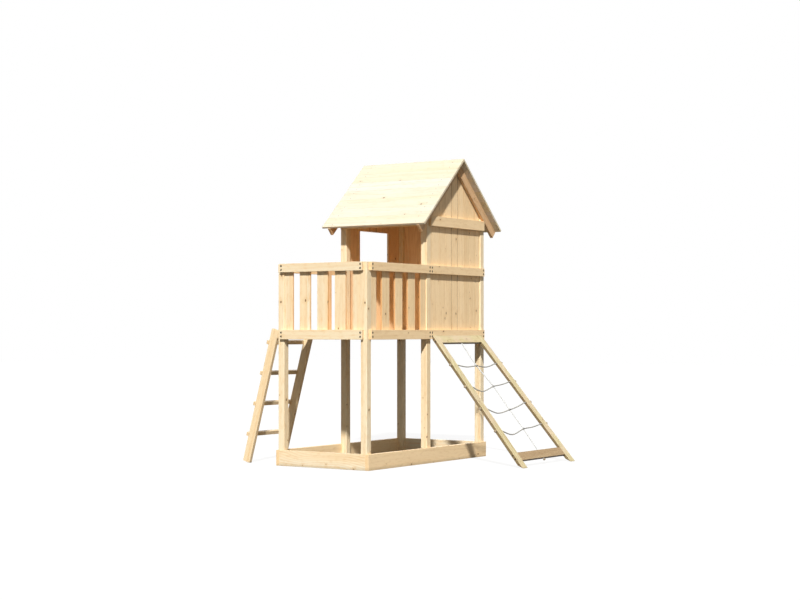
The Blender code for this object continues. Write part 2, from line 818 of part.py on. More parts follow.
def cross_rope_path(number, down):
    """Route of one cross rope from knot to knot, and the place of its crossing."""
    depth = -RAMP_THICKNESS / 2
    front, back = rope_end_places(number, down)
    ends = []
    for sign, place in ((-1, front), (1, back)):
        middle = ramp_point(place, depth, RAMP_MIDDLE)
        half = ramp_half_spacing(middle.z)
        outer = half + RAMP_BOARD_WIDTH / 2 + CLEARANCE + KNOT_DIAMETER / 2
        inner = half - RAMP_BOARD_WIDTH / 2 - ROPE_DIAMETER / 2
        ends.append((middle + Vector((0, sign * outer, 0)), middle + Vector((0, sign * inner, 0))))
    shift, across = ROPE_CROSSINGS[number]
    crossing = ramp_point(down + shift, depth, RAMP_MIDDLE + across)
    lows = []
    for (_, inner), sag in zip(ends, ROPE_SAGS[number]):
        lows.append((inner + crossing) / 2 + Vector((0, 0, -sag)))
    points = [ends[0][1], lows[0], crossing, lows[1], ends[1][1]]
    path = [ends[0][0]] + smooth_path(points, ROPE_STEP) + [ends[1][0]]
    return path, crossing


def build_net(surface):
    depth = -RAMP_THICKNESS / 2
    low_end = RAMP_LENGTH - RAMP_LOW_BAR_FROM_FOOT
    crossings = []
    added = []
    for number, down in enumerate(cross_rope_places()):
        path, crossing = cross_rope_path(number, down)
        crossings.append(crossing)
        name = f"cross_rope_{number + 1}"
        added.append(tube(name, path, ROPE_DIAMETER / 2, ROPE_SIDES, None))
        for place, centre in (("front", path[0]), ("back", path[-1])):
            added.append(knot(f"knot_{place}_{number + 1}", centre, KNOT_DIAMETER, None))
        added.append(knot(f"knot_middle_{number + 1}", crossing, CROSSING_KNOT_DIAMETER, None))
    clear = ROPE_DIAMETER / 2
    start = ramp_point(RAMP_BOARD_WIDTH - ROPE_BLIND_DEPTH, depth, RAMP_MIDDLE)
    leave = ramp_point(RAMP_BOARD_WIDTH + clear, depth, RAMP_MIDDLE)
    enter = ramp_point(low_end - RAMP_BOARD_WIDTH - clear, depth, RAMP_MIDDLE)
    end = ramp_point(low_end + CLEARANCE + KNOT_DIAMETER / 2, depth, RAMP_MIDDLE)
    path = [start] + smooth_path([leave] + crossings + [enter], ROPE_STEP) + [end]
    net = tube("rope_net", path, ROPE_DIAMETER / 2, ROPE_SIDES, surface)
    added.append(knot("knot_foot", end, KNOT_DIAMETER, None))
    for part in added:
        join_to(net, cutter(part))


def ladder_reach():
    return ladder_point(0.0, LADDER_STRINGER_DEPTH)[0]


def ramp_reach():
    return ramp_point(RAMP_LENGTH, 0).x


def base_centre():
    """Middle of the whole playhouse's plan in the tower frame."""
    roof_reach = RIDGE_Y + EAVE_RUN + ROOF_THICKNESS * ROOF_TANGENT / ROOF_SECANT
    front = -RAIL_THICKNESS - CLEARANCE
    return (ladder_reach() + ramp_reach()) / 2, (front + roof_reach) / 2


def main():
    remove_everything()
    posts, rails, boards = post_wood(), rail_wood(), board_wood()
    roof, treated, rope = roof_wood(), treated_wood(), rope_fibre()
    roof_room = gable_void("roof_room", CLEARANCE)
    rafter_room = gable_void("rafter_room", RAFTER_DEPTH + 2 * CLEARANCE)
    build_posts(posts, roof_room)
    build_sandbox(rails)
    build_rails(rails, rafter_room)
    build_deck(boards)
    build_slats(rails)
    build_walls(boards, roof_room)
    build_roof(roof, rails)
    build_ladder(rails)
    build_ramp(treated)
    build_net(rope)
    middle_x, middle_y = base_centre()
    base = carrier("playhouse", (-middle_x, -middle_y, 0.0))
    for piece in bpy.data.objects:
        if piece.type == "MESH":
            piece.parent = base


main()
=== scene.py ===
"""Looks of the stilt playhouse: timber, rope net, screws, light and camera."""
import math

import bpy
import numpy as np
from bpy.props import FloatProperty, FloatVectorProperty, IntProperty, PointerProperty
from bpy.types import Operator, Panel, PropertyGroup
from mathutils import Matrix, Vector


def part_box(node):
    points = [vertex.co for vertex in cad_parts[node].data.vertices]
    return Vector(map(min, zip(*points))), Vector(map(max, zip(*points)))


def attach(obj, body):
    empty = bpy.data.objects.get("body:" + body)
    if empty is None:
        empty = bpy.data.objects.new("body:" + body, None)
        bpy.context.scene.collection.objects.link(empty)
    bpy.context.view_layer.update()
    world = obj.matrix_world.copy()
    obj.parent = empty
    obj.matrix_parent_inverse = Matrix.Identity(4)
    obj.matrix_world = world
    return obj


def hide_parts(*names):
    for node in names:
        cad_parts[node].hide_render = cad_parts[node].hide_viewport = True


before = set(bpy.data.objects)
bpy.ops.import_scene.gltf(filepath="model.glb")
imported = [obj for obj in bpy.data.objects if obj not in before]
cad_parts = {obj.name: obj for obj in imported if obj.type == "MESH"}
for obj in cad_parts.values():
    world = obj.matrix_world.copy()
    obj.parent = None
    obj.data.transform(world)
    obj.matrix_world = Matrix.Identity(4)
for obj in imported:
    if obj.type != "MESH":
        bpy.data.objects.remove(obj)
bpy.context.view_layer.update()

bl_info = {
    "name": "Stilt Playhouse",
    "version": (1, 0, 0),
    "blender": (4, 5, 0),
    "location": "View3D > Sidebar > Playhouse",
    "description": "Dresses a wooden stilt playhouse with timber, rope and screws",
    "category": "Object",
}

# The tower frame: its origin is in the middle of the tower's width, at the front
# faces of the front posts, on the ground
HALF_WIDTH = 0.500
FRONT_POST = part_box("post_front_left")
TOWER = Vector((FRONT_POST[0].x + HALF_WIDTH, FRONT_POST[0].y, 0.0))
UP = Vector((0.0, 0.0, 1.0))
ALONG_X = Vector((1.0, 0.0, 0.0))
ALONG_Y = Vector((0.0, 1.0, 0.0))

# The slats' wood changes in these steps, from a place left of the tower's middle, which
# lies within a slat, at the front, and from a place behind the front posts' faces, which
# lies in a gap between two slats, at the sides
FRONT_SLAT_STEP = 0.1985
FRONT_SLAT_CHANGE = 0.37
SIDE_SLAT_STEP = 0.2116
SIDE_SLAT_CHANGE = 0.208
# A joint of each wall, from its low end: the first of the two wide ones at the sides
WALL_JOINT_PLACE = 0.388
# Height of the platform rails' middle
PLATFORM_RAIL_MIDDLE = 1.2128

ROOF_PITCH = math.atan(0.9268)
ROOF_THICKNESS = 0.018
# Level distance from the ridge to the eave
EAVE_RUN = 0.698
# Each slope and the way in Y from its eave to the ridge
SLOPES = (("front", 1.0), ("back", -1.0))
LADDER_LEAN = math.atan(0.279)
# Half the thickness of the ladder's rungs and stringers
HALF_LADDER_STOCK = 0.018

# Net ramp, as the solids have it
RAMP_CLEARANCE = 0.0003
RAMP_TOP = 1.204
RAMP_RUN = 1.011
RAMP_MIDDLE = 1.487
RAMP_TOP_SPACING = 0.802
RAMP_FOOT_SPACING = 0.924
RAMP_BOARD_WIDTH = 0.088
RAMP_THICKNESS = 0.028
RAMP_LOW_BAR_FROM_FOOT = 0.090
RAMP_CORE = -RAMP_THICKNESS / 2
RAMP_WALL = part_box("platform_rail_right_house")[1].x + RAMP_CLEARANCE
RAMP_LENGTH = math.hypot(RAMP_RUN, RAMP_TOP)
RAMP_LOW_END = RAMP_LENGTH - RAMP_LOW_BAR_FROM_FOOT
RAMP_LOW_BAR = RAMP_LOW_END - RAMP_BOARD_WIDTH
RAMP_DOWN = np.array((RAMP_RUN, 0.0, -RAMP_TOP)) / RAMP_LENGTH
RAMP_OUT = np.array((RAMP_TOP, 0.0, RAMP_RUN)) / RAMP_LENGTH
# Places of the ramp's screws, down its slope: two in the top bar and two in the low one
RAMP_SCREWS = (0.034, 0.068, RAMP_LOW_END - 0.066, RAMP_LOW_END - 0.022)

# Rope net, as the solids have it: sags of the front and back halves, shifts of the
# crossings down and across the ramp, rise of the back ends
ROPE_SAGS = ((0.015, 0.022), (0.046, 0.004), (0.038, 0.006), (0.044, 0.006))
ROPE_CROSSINGS = ((0.021, -0.019), (0.014, 0.020), (0.036, 0.012), (0.006, 0.015))
BACK_ROPE_RISES = (0.0, 0.030, 0.034, 0.030)
END_KNOT_OUT = 0.0153
# How far a rope runs straight past a board's edge, how far inside the top bar the centre
# rope ends, and the distance between the points of a free rope
ROPE_STRAIGHT = 0.006
ROPE_IN_TOP_BAR = 0.040
ROPE_STEP = 0.004
# Thickness of the other ropes as shares of a cross rope's, and a crossing knot's size
# as a share of an end knot's
END_KNOT_ROPE = 0.86
CROSSING_KNOT_ROPE = 0.80
CENTRE_ROPE = 0.92
CROSSING_KNOT_SIZE = 0.9
# Sides of a rope's surface; points of a knot and of a rope inside a rail and the bars
ROPE_SIDES, KNOT_SIDES = 16, 12
KNOT_STEPS, RAIL_STEPS, TOP_BAR_STEPS, LOW_BAR_STEPS = 96, 24, 12, 28

# Heads of the other screws as shares of a rail screw's, and the places of the roof's
# screws across a board and in from the tower's sides
SMALL_HEAD = 0.8
ROOF_HEAD = 0.38
ROOF_SCREW_PLACES = (0.22, 0.78)
ROOF_SCREW_INSET = 0.02

JOINT_SHADE = (0.30, 0.17, 0.07, 1.0)
OPEN_JOINT = (0.16, 0.085, 0.035, 1.0)
SOIL = (0.25, 0.18, 0.1, 1.0)
WORN_STEEL = (0.09, 0.075, 0.055, 1.0)
WHITE = (1.0, 1.0, 1.0, 1.0)


# Sizes and colours


def colour_field(name, description, *rgb):
    return FloatVectorProperty(name=name, description=description, subtype="COLOR", size=4,
                               min=0.0, max=1.0, default=(*rgb, 1.0))


def length_field(name, description, least, default):
    return FloatProperty(name=name, description=description, unit="LENGTH", min=least,
                         default=default)


def strength_field(name, description, default):
    return FloatProperty(name=name, description=description, min=0.0, default=default)


class PlayhouseTimber(PropertyGroup):
    pale: colour_field("Early wood", "Pale wood between the growth rings", 0.83, 0.735, 0.535)
    # Side wood is painted light: a brighter, warmer copy of the early wood for the pieces on the
    # tower's sides and the back wall, lifting their faces, which the sun lights less than the
    # front ones
    side: colour_field("Side wood", "Warmer early wood of the boards on the tower's sides",
                       0.99, 0.77, 0.485)
    # Inner tint is painted shade: a warm darkening of the faces that point into the house, for
    # the shade inside it
    inner_shade_tint: colour_field("Inner tint", "Tint of the faces that point into the house",
                             1.0, 0.92, 0.89)
    late: colour_field("Late wood", "Darker wood of the growth rings", 0.74, 0.50, 0.25)
    warm: colour_field("Warm board", "Tone of the more reddish boards", 0.90, 0.69, 0.42)
    knot: colour_field("Knot", "Heart of a knot", 0.16, 0.075, 0.03)
    roof: colour_field("Roof board", "Pale wood of the roof boards", 0.72, 0.69, 0.645)
    treated: colour_field("Treated wood", "Greenish treated pine of the ramp", 0.69, 0.63, 0.39)
    treated_late: colour_field("Treated late wood", "Growth rings of the treated pine",
                               0.42, 0.32, 0.15)
    ring_width: length_field("Ring width", "Distance between growth rings", 0.001, 0.0045)
    wall_board: length_field("Wall board", "Width of an upright wall board", 0.02, 0.112)
    deck_board: length_field("Deck board", "Width of a deck board", 0.02, 0.145)
    roof_boards: IntProperty(
        name="Roof boards", description="Boards on each slope", min=1, default=7)


class PlayhouseRope(PropertyGroup):
    colour: colour_field("Rope", "Grey of the net's ropes", 0.43, 0.42, 0.38)
    knot_colour: colour_field("End knots", "Browner rope of the end knots", 0.42, 0.33, 0.22)
    crossing_colour: colour_field("Crossing knots", "Darker rope of the knots inside the net",
                                  0.13, 0.13, 0.12)
    centre_colour: colour_field("Centre rope", "Pale rope down the middle of the net",
                                0.70, 0.71, 0.70)
    diameter: length_field("Diameter", "Thickness of the ropes", 0.004, 0.012)
    lay: length_field("Lay", "Length of one turn of the strands", 0.01, 0.040)
    knot_radius: length_field("Knot radius", "Half the width of an end knot", 0.006, 0.0150)


class PlayhouseScrews(PropertyGroup):
    head: length_field("Head", "Width of a screw's head", 0.004, 0.020)
    from_end: length_field("From the end", "Distance from a rail's end", 0.005, 0.019)
    apart: length_field("Apart", "Distance between the two screws of a rail's end", 0.01, 0.037)
    colour: colour_field("Screw", "Dark coated steel", 0.020, 0.016, 0.012)


class PlayhouseStage(PropertyGroup):
    lens: FloatProperty(name="Lens", description="Focal length", unit="CAMERA", default=72.13)
    turn: FloatProperty(
        name="Turn", description="Camera's turn to the right of the front", subtype="ANGLE",
        default=math.radians(33.844))
    horizon: FloatProperty(name="Shift", description="Upward shift of the lens",
                           default=0.03824)
    place: FloatVectorProperty(
        name="Camera", description="Camera's place in the tower frame", subtype="XYZ",
        unit="LENGTH", size=3, default=(8.6973, -11.6940, 1.2496))
    sun: FloatVectorProperty(
        name="Sun", description="Direction towards the sun", subtype="DIRECTION",
        size=3, default=(0.400, -0.677, 0.618))
    sun_strength: strength_field("Sun strength", "Strength of the main light", 4.55)
    side_strength: strength_field("Side strength", "Fill from the ramp's side", 0.18)
    back_strength: strength_field("Back strength", "Fill from behind", 1.30)
    front_strength: strength_field("Front strength", "Fill from the front", 0.12)
    sky: strength_field("Sky", "Strength of the even light", 0.22)


# Shader groups


class Nodes:
    """Adds nodes to one shader tree; an input gets a value or is joined to a socket."""

    def __init__(self, tree):
        self.tree = tree

    def fill(self, made, values):
        for name, value in values.items():
            target = made.inputs[name]
            if isinstance(value, bpy.types.NodeSocket):
                self.tree.links.new(value, target)
            else:
                target.default_value = value
        return made

    def add(self, kind, values=None, **settings):
        made = self.tree.nodes.new("ShaderNode" + kind)
        for name, value in settings.items():
            setattr(made, name, value)
        return self.fill(made, values or {})

    def maths(self, operation, *values, clamp=False):
        return self.add("Math", dict(enumerate(values)), operation=operation,
                        use_clamp=clamp).outputs[0]

    def vector(self, operation, *values):
        return self.add("VectorMath", dict(enumerate(values)), operation=operation).outputs[0]

    def smooth(self, value, low, high, to_low=0.0, to_high=1.0):
        """A smooth step of the value between low and high."""
        values = {0: value, 1: low, 2: high, 3: to_low, 4: to_high}
        return self.add("MapRange", values, interpolation_type="SMOOTHSTEP").outputs[0]

    def mix(self, factor, first, second, blend="MIX"):
        return self.add("Mix", {0: factor, 6: first, 7: second}, data_type="RGBA",
                        blend_type=blend).outputs[2]

    def noise(self, vector, scale, detail, output=0):
        return self.add("TexNoise", {"Vector": vector, "Scale": scale,
                                     "Detail": detail}).outputs[output]

    def drawn_out(self, vector, scales, detail, output=0):
        """Noise with its own scale along each axis."""
        return self.noise(self.vector("MULTIPLY", vector, scales), 1.0, detail, output)

    def split(self, vector):
        return self.add("SeparateXYZ", {0: vector}).outputs

    def join(self, x, y, z):
        return self.add("CombineXYZ", {0: x, 1: y, 2: z}).outputs[0]

    def surface(self, values, *bump):
        """A Principled shader and the output; bump is a strength, a distance and a height."""
        if bump:
            bumped = self.add("Bump", dict(zip(("Strength", "Distance", "Height"), bump)))
            values["Normal"] = bumped.outputs[0]
        self.add("OutputMaterial", {0: self.add("BsdfPrincipled", values).outputs[0]})


def open_group(name, inputs, outputs):
    """A new node group with named sockets of the given kinds, and what its inputs give."""
    group = bpy.data.node_groups.new(name, "ShaderNodeTree")
    for way, sockets in (("INPUT", inputs), ("OUTPUT", outputs)):
        for label, kind in sockets.items():
            group.interface.new_socket(name=label, in_out=way, socket_type="NodeSocket" + kind)
    return Nodes(group), group.nodes.new("NodeGroupInput").outputs


def close_group(n, results):
    n.fill(n.tree.nodes.new("NodeGroupOutput"), results)
    return n.tree


def grain_group():
    """Softwood cut from a log whose pith runs along the local Z axis.

    Growth rings are the fraction of the distance from the pith over the ring width,
    warped by slow noise; knots are cells of a 2-D Voronoi pattern on each long face, and
    push the rings aside; fine fibres are noise drawn out along Z.
    """
    n, given = open_group(
        "softwood_grain",
        {"Vector": "Vector", "Normal": "Vector", "Early Wood": "Color", "Late Wood": "Color",
         "Warm Wood": "Color", "Knot Heart": "Color", "Ring Width": "Float",
         "Ring Strength": "Float", "Knot Share": "Float", "Board Tone": "Float"},
        {"Color": "Color", "Roughness": "Float", "Height": "Float"})
    place = given["Vector"]
    x, y, z = n.split(place)
    nx, ny, nz = (n.maths("ABSOLUTE", part) for part in n.split(given["Normal"]))

    # Knots: their places, then which are there, then heart and halo
    faces_x = n.maths("GREATER_THAN", nx, ny)
    across = n.add("Mix", {0: faces_x, 2: x, 3: y}).outputs[0]
    depth = n.add("Mix", {0: faces_x, 2: y, 3: x}).outputs[0]
    slip = n.add("TexNoise", {"W": n.maths("ADD", depth, faces_x), "Scale": 2.3, "Detail": 0.0},
                 noise_dimensions="1D").outputs[0]
    slipped = n.maths("MULTIPLY_ADD", slip, 9.0, z)
    wobble = n.noise(n.join(across, slipped, depth), 30.0, 2.0)
    wide = n.maths("MULTIPLY_ADD", wobble, 0.05, n.maths("MULTIPLY", across, 6.5))
    spot = n.join(wide, n.maths("MULTIPLY", slipped, 4.2), 0.0)
    cells = n.add("TexVoronoi", {"Vector": spot, "Scale": 1.0, "Randomness": 0.9},
                  voronoi_dimensions="2D").outputs
    chance, size, _ = n.split(cells["Color"])
    present = n.maths("MULTIPLY", n.maths("LESS_THAN", chance, given["Knot Share"]),
                      n.maths("LESS_THAN", nz, 0.7))
    share = n.maths("DIVIDE", cells["Distance"], n.maths("MULTIPLY_ADD", size, 0.045, 0.014))
    knot = n.maths("MULTIPLY", n.smooth(share, 1.0, 0.72), present)
    halo = n.maths("MULTIPLY", n.smooth(share, 4.5, 0.8), present)

    # Growth rings
    slow = n.drawn_out(place, (1.6, 1.6, 0.45), 2.0, "Color")
    warp = n.add("VectorMath", {0: n.vector("SUBTRACT", slow, (0.5, 0.5, 0.5)), "Scale": 0.16},
                 operation="SCALE").outputs[0]
    warped = n.vector("ADD", place, warp)
    wx, wy, _ = n.split(warped)
    aside = n.join(n.maths("ADD", wx, 0.21), n.maths("ADD", wy, 0.33), 0.0)
    from_pith = n.add("VectorMath", {0: aside}, operation="LENGTH").outputs["Value"]
    from_pith = n.maths("MULTIPLY_ADD", halo, 0.006, from_pith)
    ring = n.maths("FRACT", n.maths("DIVIDE", from_pith, given["Ring Width"]))
    rise = n.maths("POWER", n.smooth(ring, 0.15, 0.86), 2.2)
    rings = n.maths("MULTIPLY", rise, n.smooth(ring, 1.0, 0.9))

    fibre = n.drawn_out(place, (420.0, 420.0, 9.0), 3.0)
    streak = n.drawn_out(warped, (38.0, 38.0, 0.7), 2.0)
    tone = n.drawn_out(place, (5.3, 5.3, 0.22), 1.0)
    mottle = n.drawn_out(place, (48.0, 48.0, 15.0), 4.0)
    late = n.maths("MULTIPLY", rings, given["Ring Strength"])
    late = n.maths("MULTIPLY_ADD", n.smooth(mottle, 0.48, 0.72), 0.30, late)
    late = n.maths("MULTIPLY_ADD", n.smooth(streak, 0.42, 0.72), 0.34, late)
    late = n.maths("MULTIPLY_ADD", fibre, 0.20, late, clamp=True)
    warmth = n.maths("ADD", n.smooth(tone, 0.36, 0.66, 0.0, 0.55),
                     n.maths("MULTIPLY_ADD", given["Board Tone"], 0.9, -0.35), clamp=True)
    tint = n.mix(warmth, given["Early Wood"], given["Warm Wood"])
    tint = n.mix(late, tint, given["Late Wood"])
    tint = n.mix(n.maths("MULTIPLY", halo, 0.45), tint, given["Late Wood"])
    tint = n.mix(n.maths("MULTIPLY", knot, 0.9), tint, given["Knot Heart"])
    end_face = n.smooth(nz, 0.75, 0.95)
    tint = n.mix(n.maths("MULTIPLY", end_face, 0.45), tint, given["Late Wood"])

    rough = n.maths("MULTIPLY_ADD", fibre, 0.16, 0.52)
    rough = n.maths("MULTIPLY_ADD", rings, -0.06, rough)
    height = n.maths("MULTIPLY_ADD", rings, 0.5, n.maths("MULTIPLY", fibre, 0.6))
    return close_group(n, {"Color": tint,
                           "Roughness": n.maths("MULTIPLY_ADD", end_face, 0.15, rough),
                           "Height": n.maths("MULTIPLY_ADD", knot, -0.5, height)})


def board_group():
    """Boards side by side along the local X axis, each with its own piece of the log.

    A board's number is the floor of the distance past the first joint over the width;
    white noise of that number shifts the grain and gives the board's tone.
    """
    n, given = open_group(
        "board_change", {"Vector": "Vector", "Board Width": "Float", "First Joint": "Float"},
        {"Vector": "Vector", "Board Tone": "Float", "Joint": "Float"})
    x, _, _ = n.split(given["Vector"])
    place = n.maths("DIVIDE", n.maths("SUBTRACT", x, given["First Joint"]),
                    given["Board Width"])
    random = n.add("TexWhiteNoise", {"W": n.maths("FLOOR", place)},
                   noise_dimensions="1D").outputs
    shift = n.vector("MULTIPLY", random["Color"], (1.7, 0.6, 3.1))
    part = n.maths("FRACT", place)
    edge = n.maths("MINIMUM", part, n.maths("SUBTRACT", 1.0, part))
    near = n.maths("MULTIPLY", edge, given["Board Width"])
    return close_group(n, {"Vector": n.vector("ADD", given["Vector"], shift),
                           "Board Tone": random["Value"],
                           "Joint": n.smooth(near, 0.0028, 0.0012)})


def soil_group():
    """Soiling of timber near the ground: noise that fades with height over the ground."""
    n, given = open_group(
        "ground_soil", {"Color": "Color", "Soil Height": "Float", "Soil": "Color"},
        {"Color": "Color"})
    place = n.add("TexCoord").outputs["Object"]
    _, _, z = n.split(place)
    patch = n.noise(place, 22.0, 4.0)
    reach = n.maths("MULTIPLY", given["Soil Height"], n.maths("MULTIPLY_ADD", patch, 1.2, 0.4))
    low = n.smooth(n.maths("DIVIDE", z, reach), 1.0, 0.0)
    share = n.maths("MULTIPLY", low, 0.35)
    return close_group(n, {"Color": n.mix(share, given["Color"], given["Soil"])})


def fibre_group():
    """Fibres of a laid rope: noise drawn out along the strands, read from the UV map.

    U goes once round the rope and V counts turns of the lay, so U minus V is constant
    along a strand. The rope is darkened away from the strands' crowns: painted shade in
    the grooves.
    """
    n, given = open_group("rope_fibres", {"UV": "Vector", "Rope": "Color"},
                          {"Color": "Color", "Roughness": "Float", "Height": "Float"})
    u, v, _ = n.split(given["UV"])
    turn = n.maths("MULTIPLY", n.maths("SUBTRACT", u, v), 2 * math.pi)
    crown = n.maths("ABSOLUTE", n.maths("COSINE", n.maths("MULTIPLY", turn, 1.5)))
    around = n.join(n.maths("MULTIPLY", n.maths("SINE", turn), 5.0),
                    n.maths("MULTIPLY", n.maths("COSINE", turn), 5.0),
                    n.maths("MULTIPLY", v, 2.5))
    fibre = n.noise(around, 3.0, 4.0)
    # shade darkens the rope away from the strands' crowns: painted shade in the grooves
    shade = n.maths("MULTIPLY_ADD", n.smooth(crown, 0.0, 0.55), 0.62, 0.38)
    value = n.maths("MULTIPLY", shade, n.maths("MULTIPLY_ADD", fibre, 0.5, 0.72))
    grey = n.join(value, value, value)
    return close_group(n, {"Color": n.mix(1.0, given["Rope"], grey, "MULTIPLY"),
                           "Roughness": n.maths("MULTIPLY_ADD", fibre, 0.2, 0.7),
                           "Height": fibre})


# Materials


def use_group(n, name, build, values):
    """Outputs of a group node; the group itself is built the first time that it is used."""
    return n.add("Group", values, node_tree=bpy.data.node_groups.get(name) or build()).outputs


def blank_material(name):
    made = bpy.data.materials.new(name)
    made.use_nodes = True
    made.node_tree.nodes.clear()
    return made, Nodes(made.node_tree)


def grain_turn(grain, across):
    """Euler turn that brings the grain to Z and the direction across it to X."""
    third = grain.cross(across).normalized()
    return Matrix((across.normalized(), third, grain.normalized())).to_euler("XYZ")


def timber(name, grain, across, early=None, late=None, warm=None, rings=0.42, knots=0.5,
           tone=0.5, boards=None, joint=0.3, dark_joints=(), patches=None, edge=None, inward=0,
           soil=0.0):
    """Softwood with its grain along one direction, in single pieces or in boards.

    boards is a board's width and the place of a joint, joint is how dark the joints are,
    dark_joints are the places across the boards of open ones, patches is the colour of
    uneven treatment, edge is a painted shade multiplied onto the boards' narrow edges,
    inward is 1 or -1 where the faces on that side of the boards point into the house and
    get the inner shade tint, a painted shade, and soil is the soiled height.
    """
    look = bpy.context.scene.playhouse_timber
    made, n = blank_material(name)
    turn = grain_turn(grain, across)
    place = n.add("TexCoord").outputs
    along = n.add("Mapping", {"Vector": place["Object"], "Rotation": turn},
                  vector_type="POINT").outputs[0]
    normal = n.add("Mapping", {"Vector": place["Normal"], "Rotation": turn},
                   vector_type="VECTOR").outputs[0]
    values = {"Vector": along, "Normal": normal, "Early Wood": early or look.pale,
              "Late Wood": late or look.late, "Warm Wood": warm or look.warm,
              "Knot Heart": look.knot, "Ring Width": look.ring_width, "Ring Strength": rings,
              "Knot Share": knots, "Board Tone": tone}
    if boards:
        change = use_group(n, "board_change", board_group, {
            "Vector": along, "Board Width": boards[0], "First Joint": boards[1]})
        values.update({"Vector": change["Vector"], "Board Tone": change["Board Tone"]})
    wood = use_group(n, "softwood_grain", grain_group, values)
    tint = wood["Color"]
    if boards:
        tint = n.mix(n.maths("MULTIPLY", change["Joint"], joint), tint, JOINT_SHADE)
    for place_across in dark_joints:
        off = n.maths("ABSOLUTE", n.maths("SUBTRACT", n.split(along)[0], place_across))
        tint = n.mix(n.smooth(off, 0.0040, 0.0022), tint, OPEN_JOINT)
    if patches:
        patch = n.noise(place["Object"], 5.0, 3.0)
        tint = n.mix(n.smooth(patch, 0.46, 0.62, 0.0, 0.55), tint, patches)
    # Painted shade: the edge tint is multiplied onto the boards' narrow edges
    if edge:
        share = n.smooth(n.maths("ABSOLUTE", n.split(normal)[0]), 0.7, 0.9)
        tint = n.mix(share, tint, edge, "MULTIPLY")
    # Painted shade: the inner tint is multiplied onto the faces that point into the house
    if inward:
        share = n.smooth(n.maths("MULTIPLY", n.split(normal)[1], inward), 0.7, 0.9)
        tint = n.mix(share, tint, look.inner_shade_tint, "MULTIPLY")
    if soil:
        tint = use_group(n, "ground_soil", soil_group,
                         {"Color": tint, "Soil Height": soil, "Soil": SOIL})["Color"]
    n.surface({"Base Color": tint, "Roughness": wood["Roughness"], "Specular IOR Level": 0.3},
              0.5, 0.0006, wood["Height"])
    return made


def rope_material(name, rope):
    made, n = blank_material(name)
    place = n.add("UVMap", uv_map="lay").outputs[0]
    fibres = use_group(n, "rope_fibres", fibre_group, {"UV": place, "Rope": rope})
    n.surface({"Base Color": fibres["Color"], "Roughness": fibres["Roughness"],
               "Sheen Weight": 0.15}, 0.4, 0.0008, fibres["Height"])
    return made


def screw_material(name, steel):
    made, n = blank_material(name)
    worn = n.noise(n.add("TexCoord").outputs["Object"], 900.0, 3.0)
    n.surface({"Base Color": n.mix(n.smooth(worn, 0.5, 0.75, 0.0, 0.35), steel, WORN_STEEL),
               "Roughness": n.maths("MULTIPLY_ADD", worn, 0.3, 0.55),
               "Specular IOR Level": 0.15})
    return made


def dress(material, *names):
    """Gives CAD nodes their material; a name that ends in * stands for all that start so."""
    for name in names:
        start = name.rstrip("*")
        found = [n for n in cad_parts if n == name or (name != start and n.startswith(start))]
        if not found:
            raise ValueError(f"no node is named {name}")
        for each in found:
            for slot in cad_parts[each].material_slots:
                slot.material = material


# Shapes


def mesh_piece(name, points, faces, material, uv=None):
    """A smooth-shaded piece from arrays of points and faces that rides on the root body."""
    mesh = bpy.data.meshes.new(name)
    mesh.from_pydata(points.tolist(), [], faces)
    mesh.polygons.foreach_set("use_smooth", np.ones(len(mesh.polygons), bool))
    if uv is not None:
        layer = mesh.uv_layers.new(name="lay")
        layer.data.foreach_set("uv", np.asarray(uv, np.float32).ravel())
    mesh.materials.append(material)
    mesh.update()
    piece = bpy.data.objects.new(name, mesh)
    bpy.context.scene.collection.objects.link(piece)
    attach(piece, "root")
    return piece


def ramp_point(down, outward, y):
    """A point of the ramp: down its outer face, out from it, at a tower Y."""
    top = np.array((RAMP_WALL, TOWER.y + y, RAMP_TOP))
    return top + RAMP_DOWN * down + RAMP_OUT * outward


def half_spacing(height):
    """Half the distance between the ramp's rails at a height."""
    share = 1.0 - height / RAMP_TOP
    return (RAMP_TOP_SPACING + (RAMP_FOOT_SPACING - RAMP_TOP_SPACING) * share) / 2


def smooth_route(points, step):
    """Catmull-Rom curve through the points, sampled evenly by its length."""
    points = np.asarray(points, float)
    padded = np.vstack((2 * points[0] - points[1], points, 2 * points[-1] - points[-2]))
    a, b, c, d = (padded[i:len(padded) - 3 + i, None] for i in range(4))
    t = np.linspace(0.0, 1.0, 40, endpoint=False)[None, :, None]
    curve = b + ((c - a) * t + (2 * a - 5 * b + 4 * c - d) * t ** 2
                 + (3 * b - a - 3 * c + d) * t ** 3) / 2
    curve = np.vstack((curve.reshape(-1, 3), points[-1]))
    run = np.concatenate(([0.0], np.cumsum(np.linalg.norm(np.diff(curve, axis=0), axis=1))))
    even = np.linspace(0.0, run[-1], max(3, round(run[-1] / step) + 1))
    return np.stack([np.interp(even, run, curve[:, i]) for i in range(3)], axis=1)


def unit(vectors):
    return vectors / np.linalg.norm(vectors, axis=-1, keepdims=True)


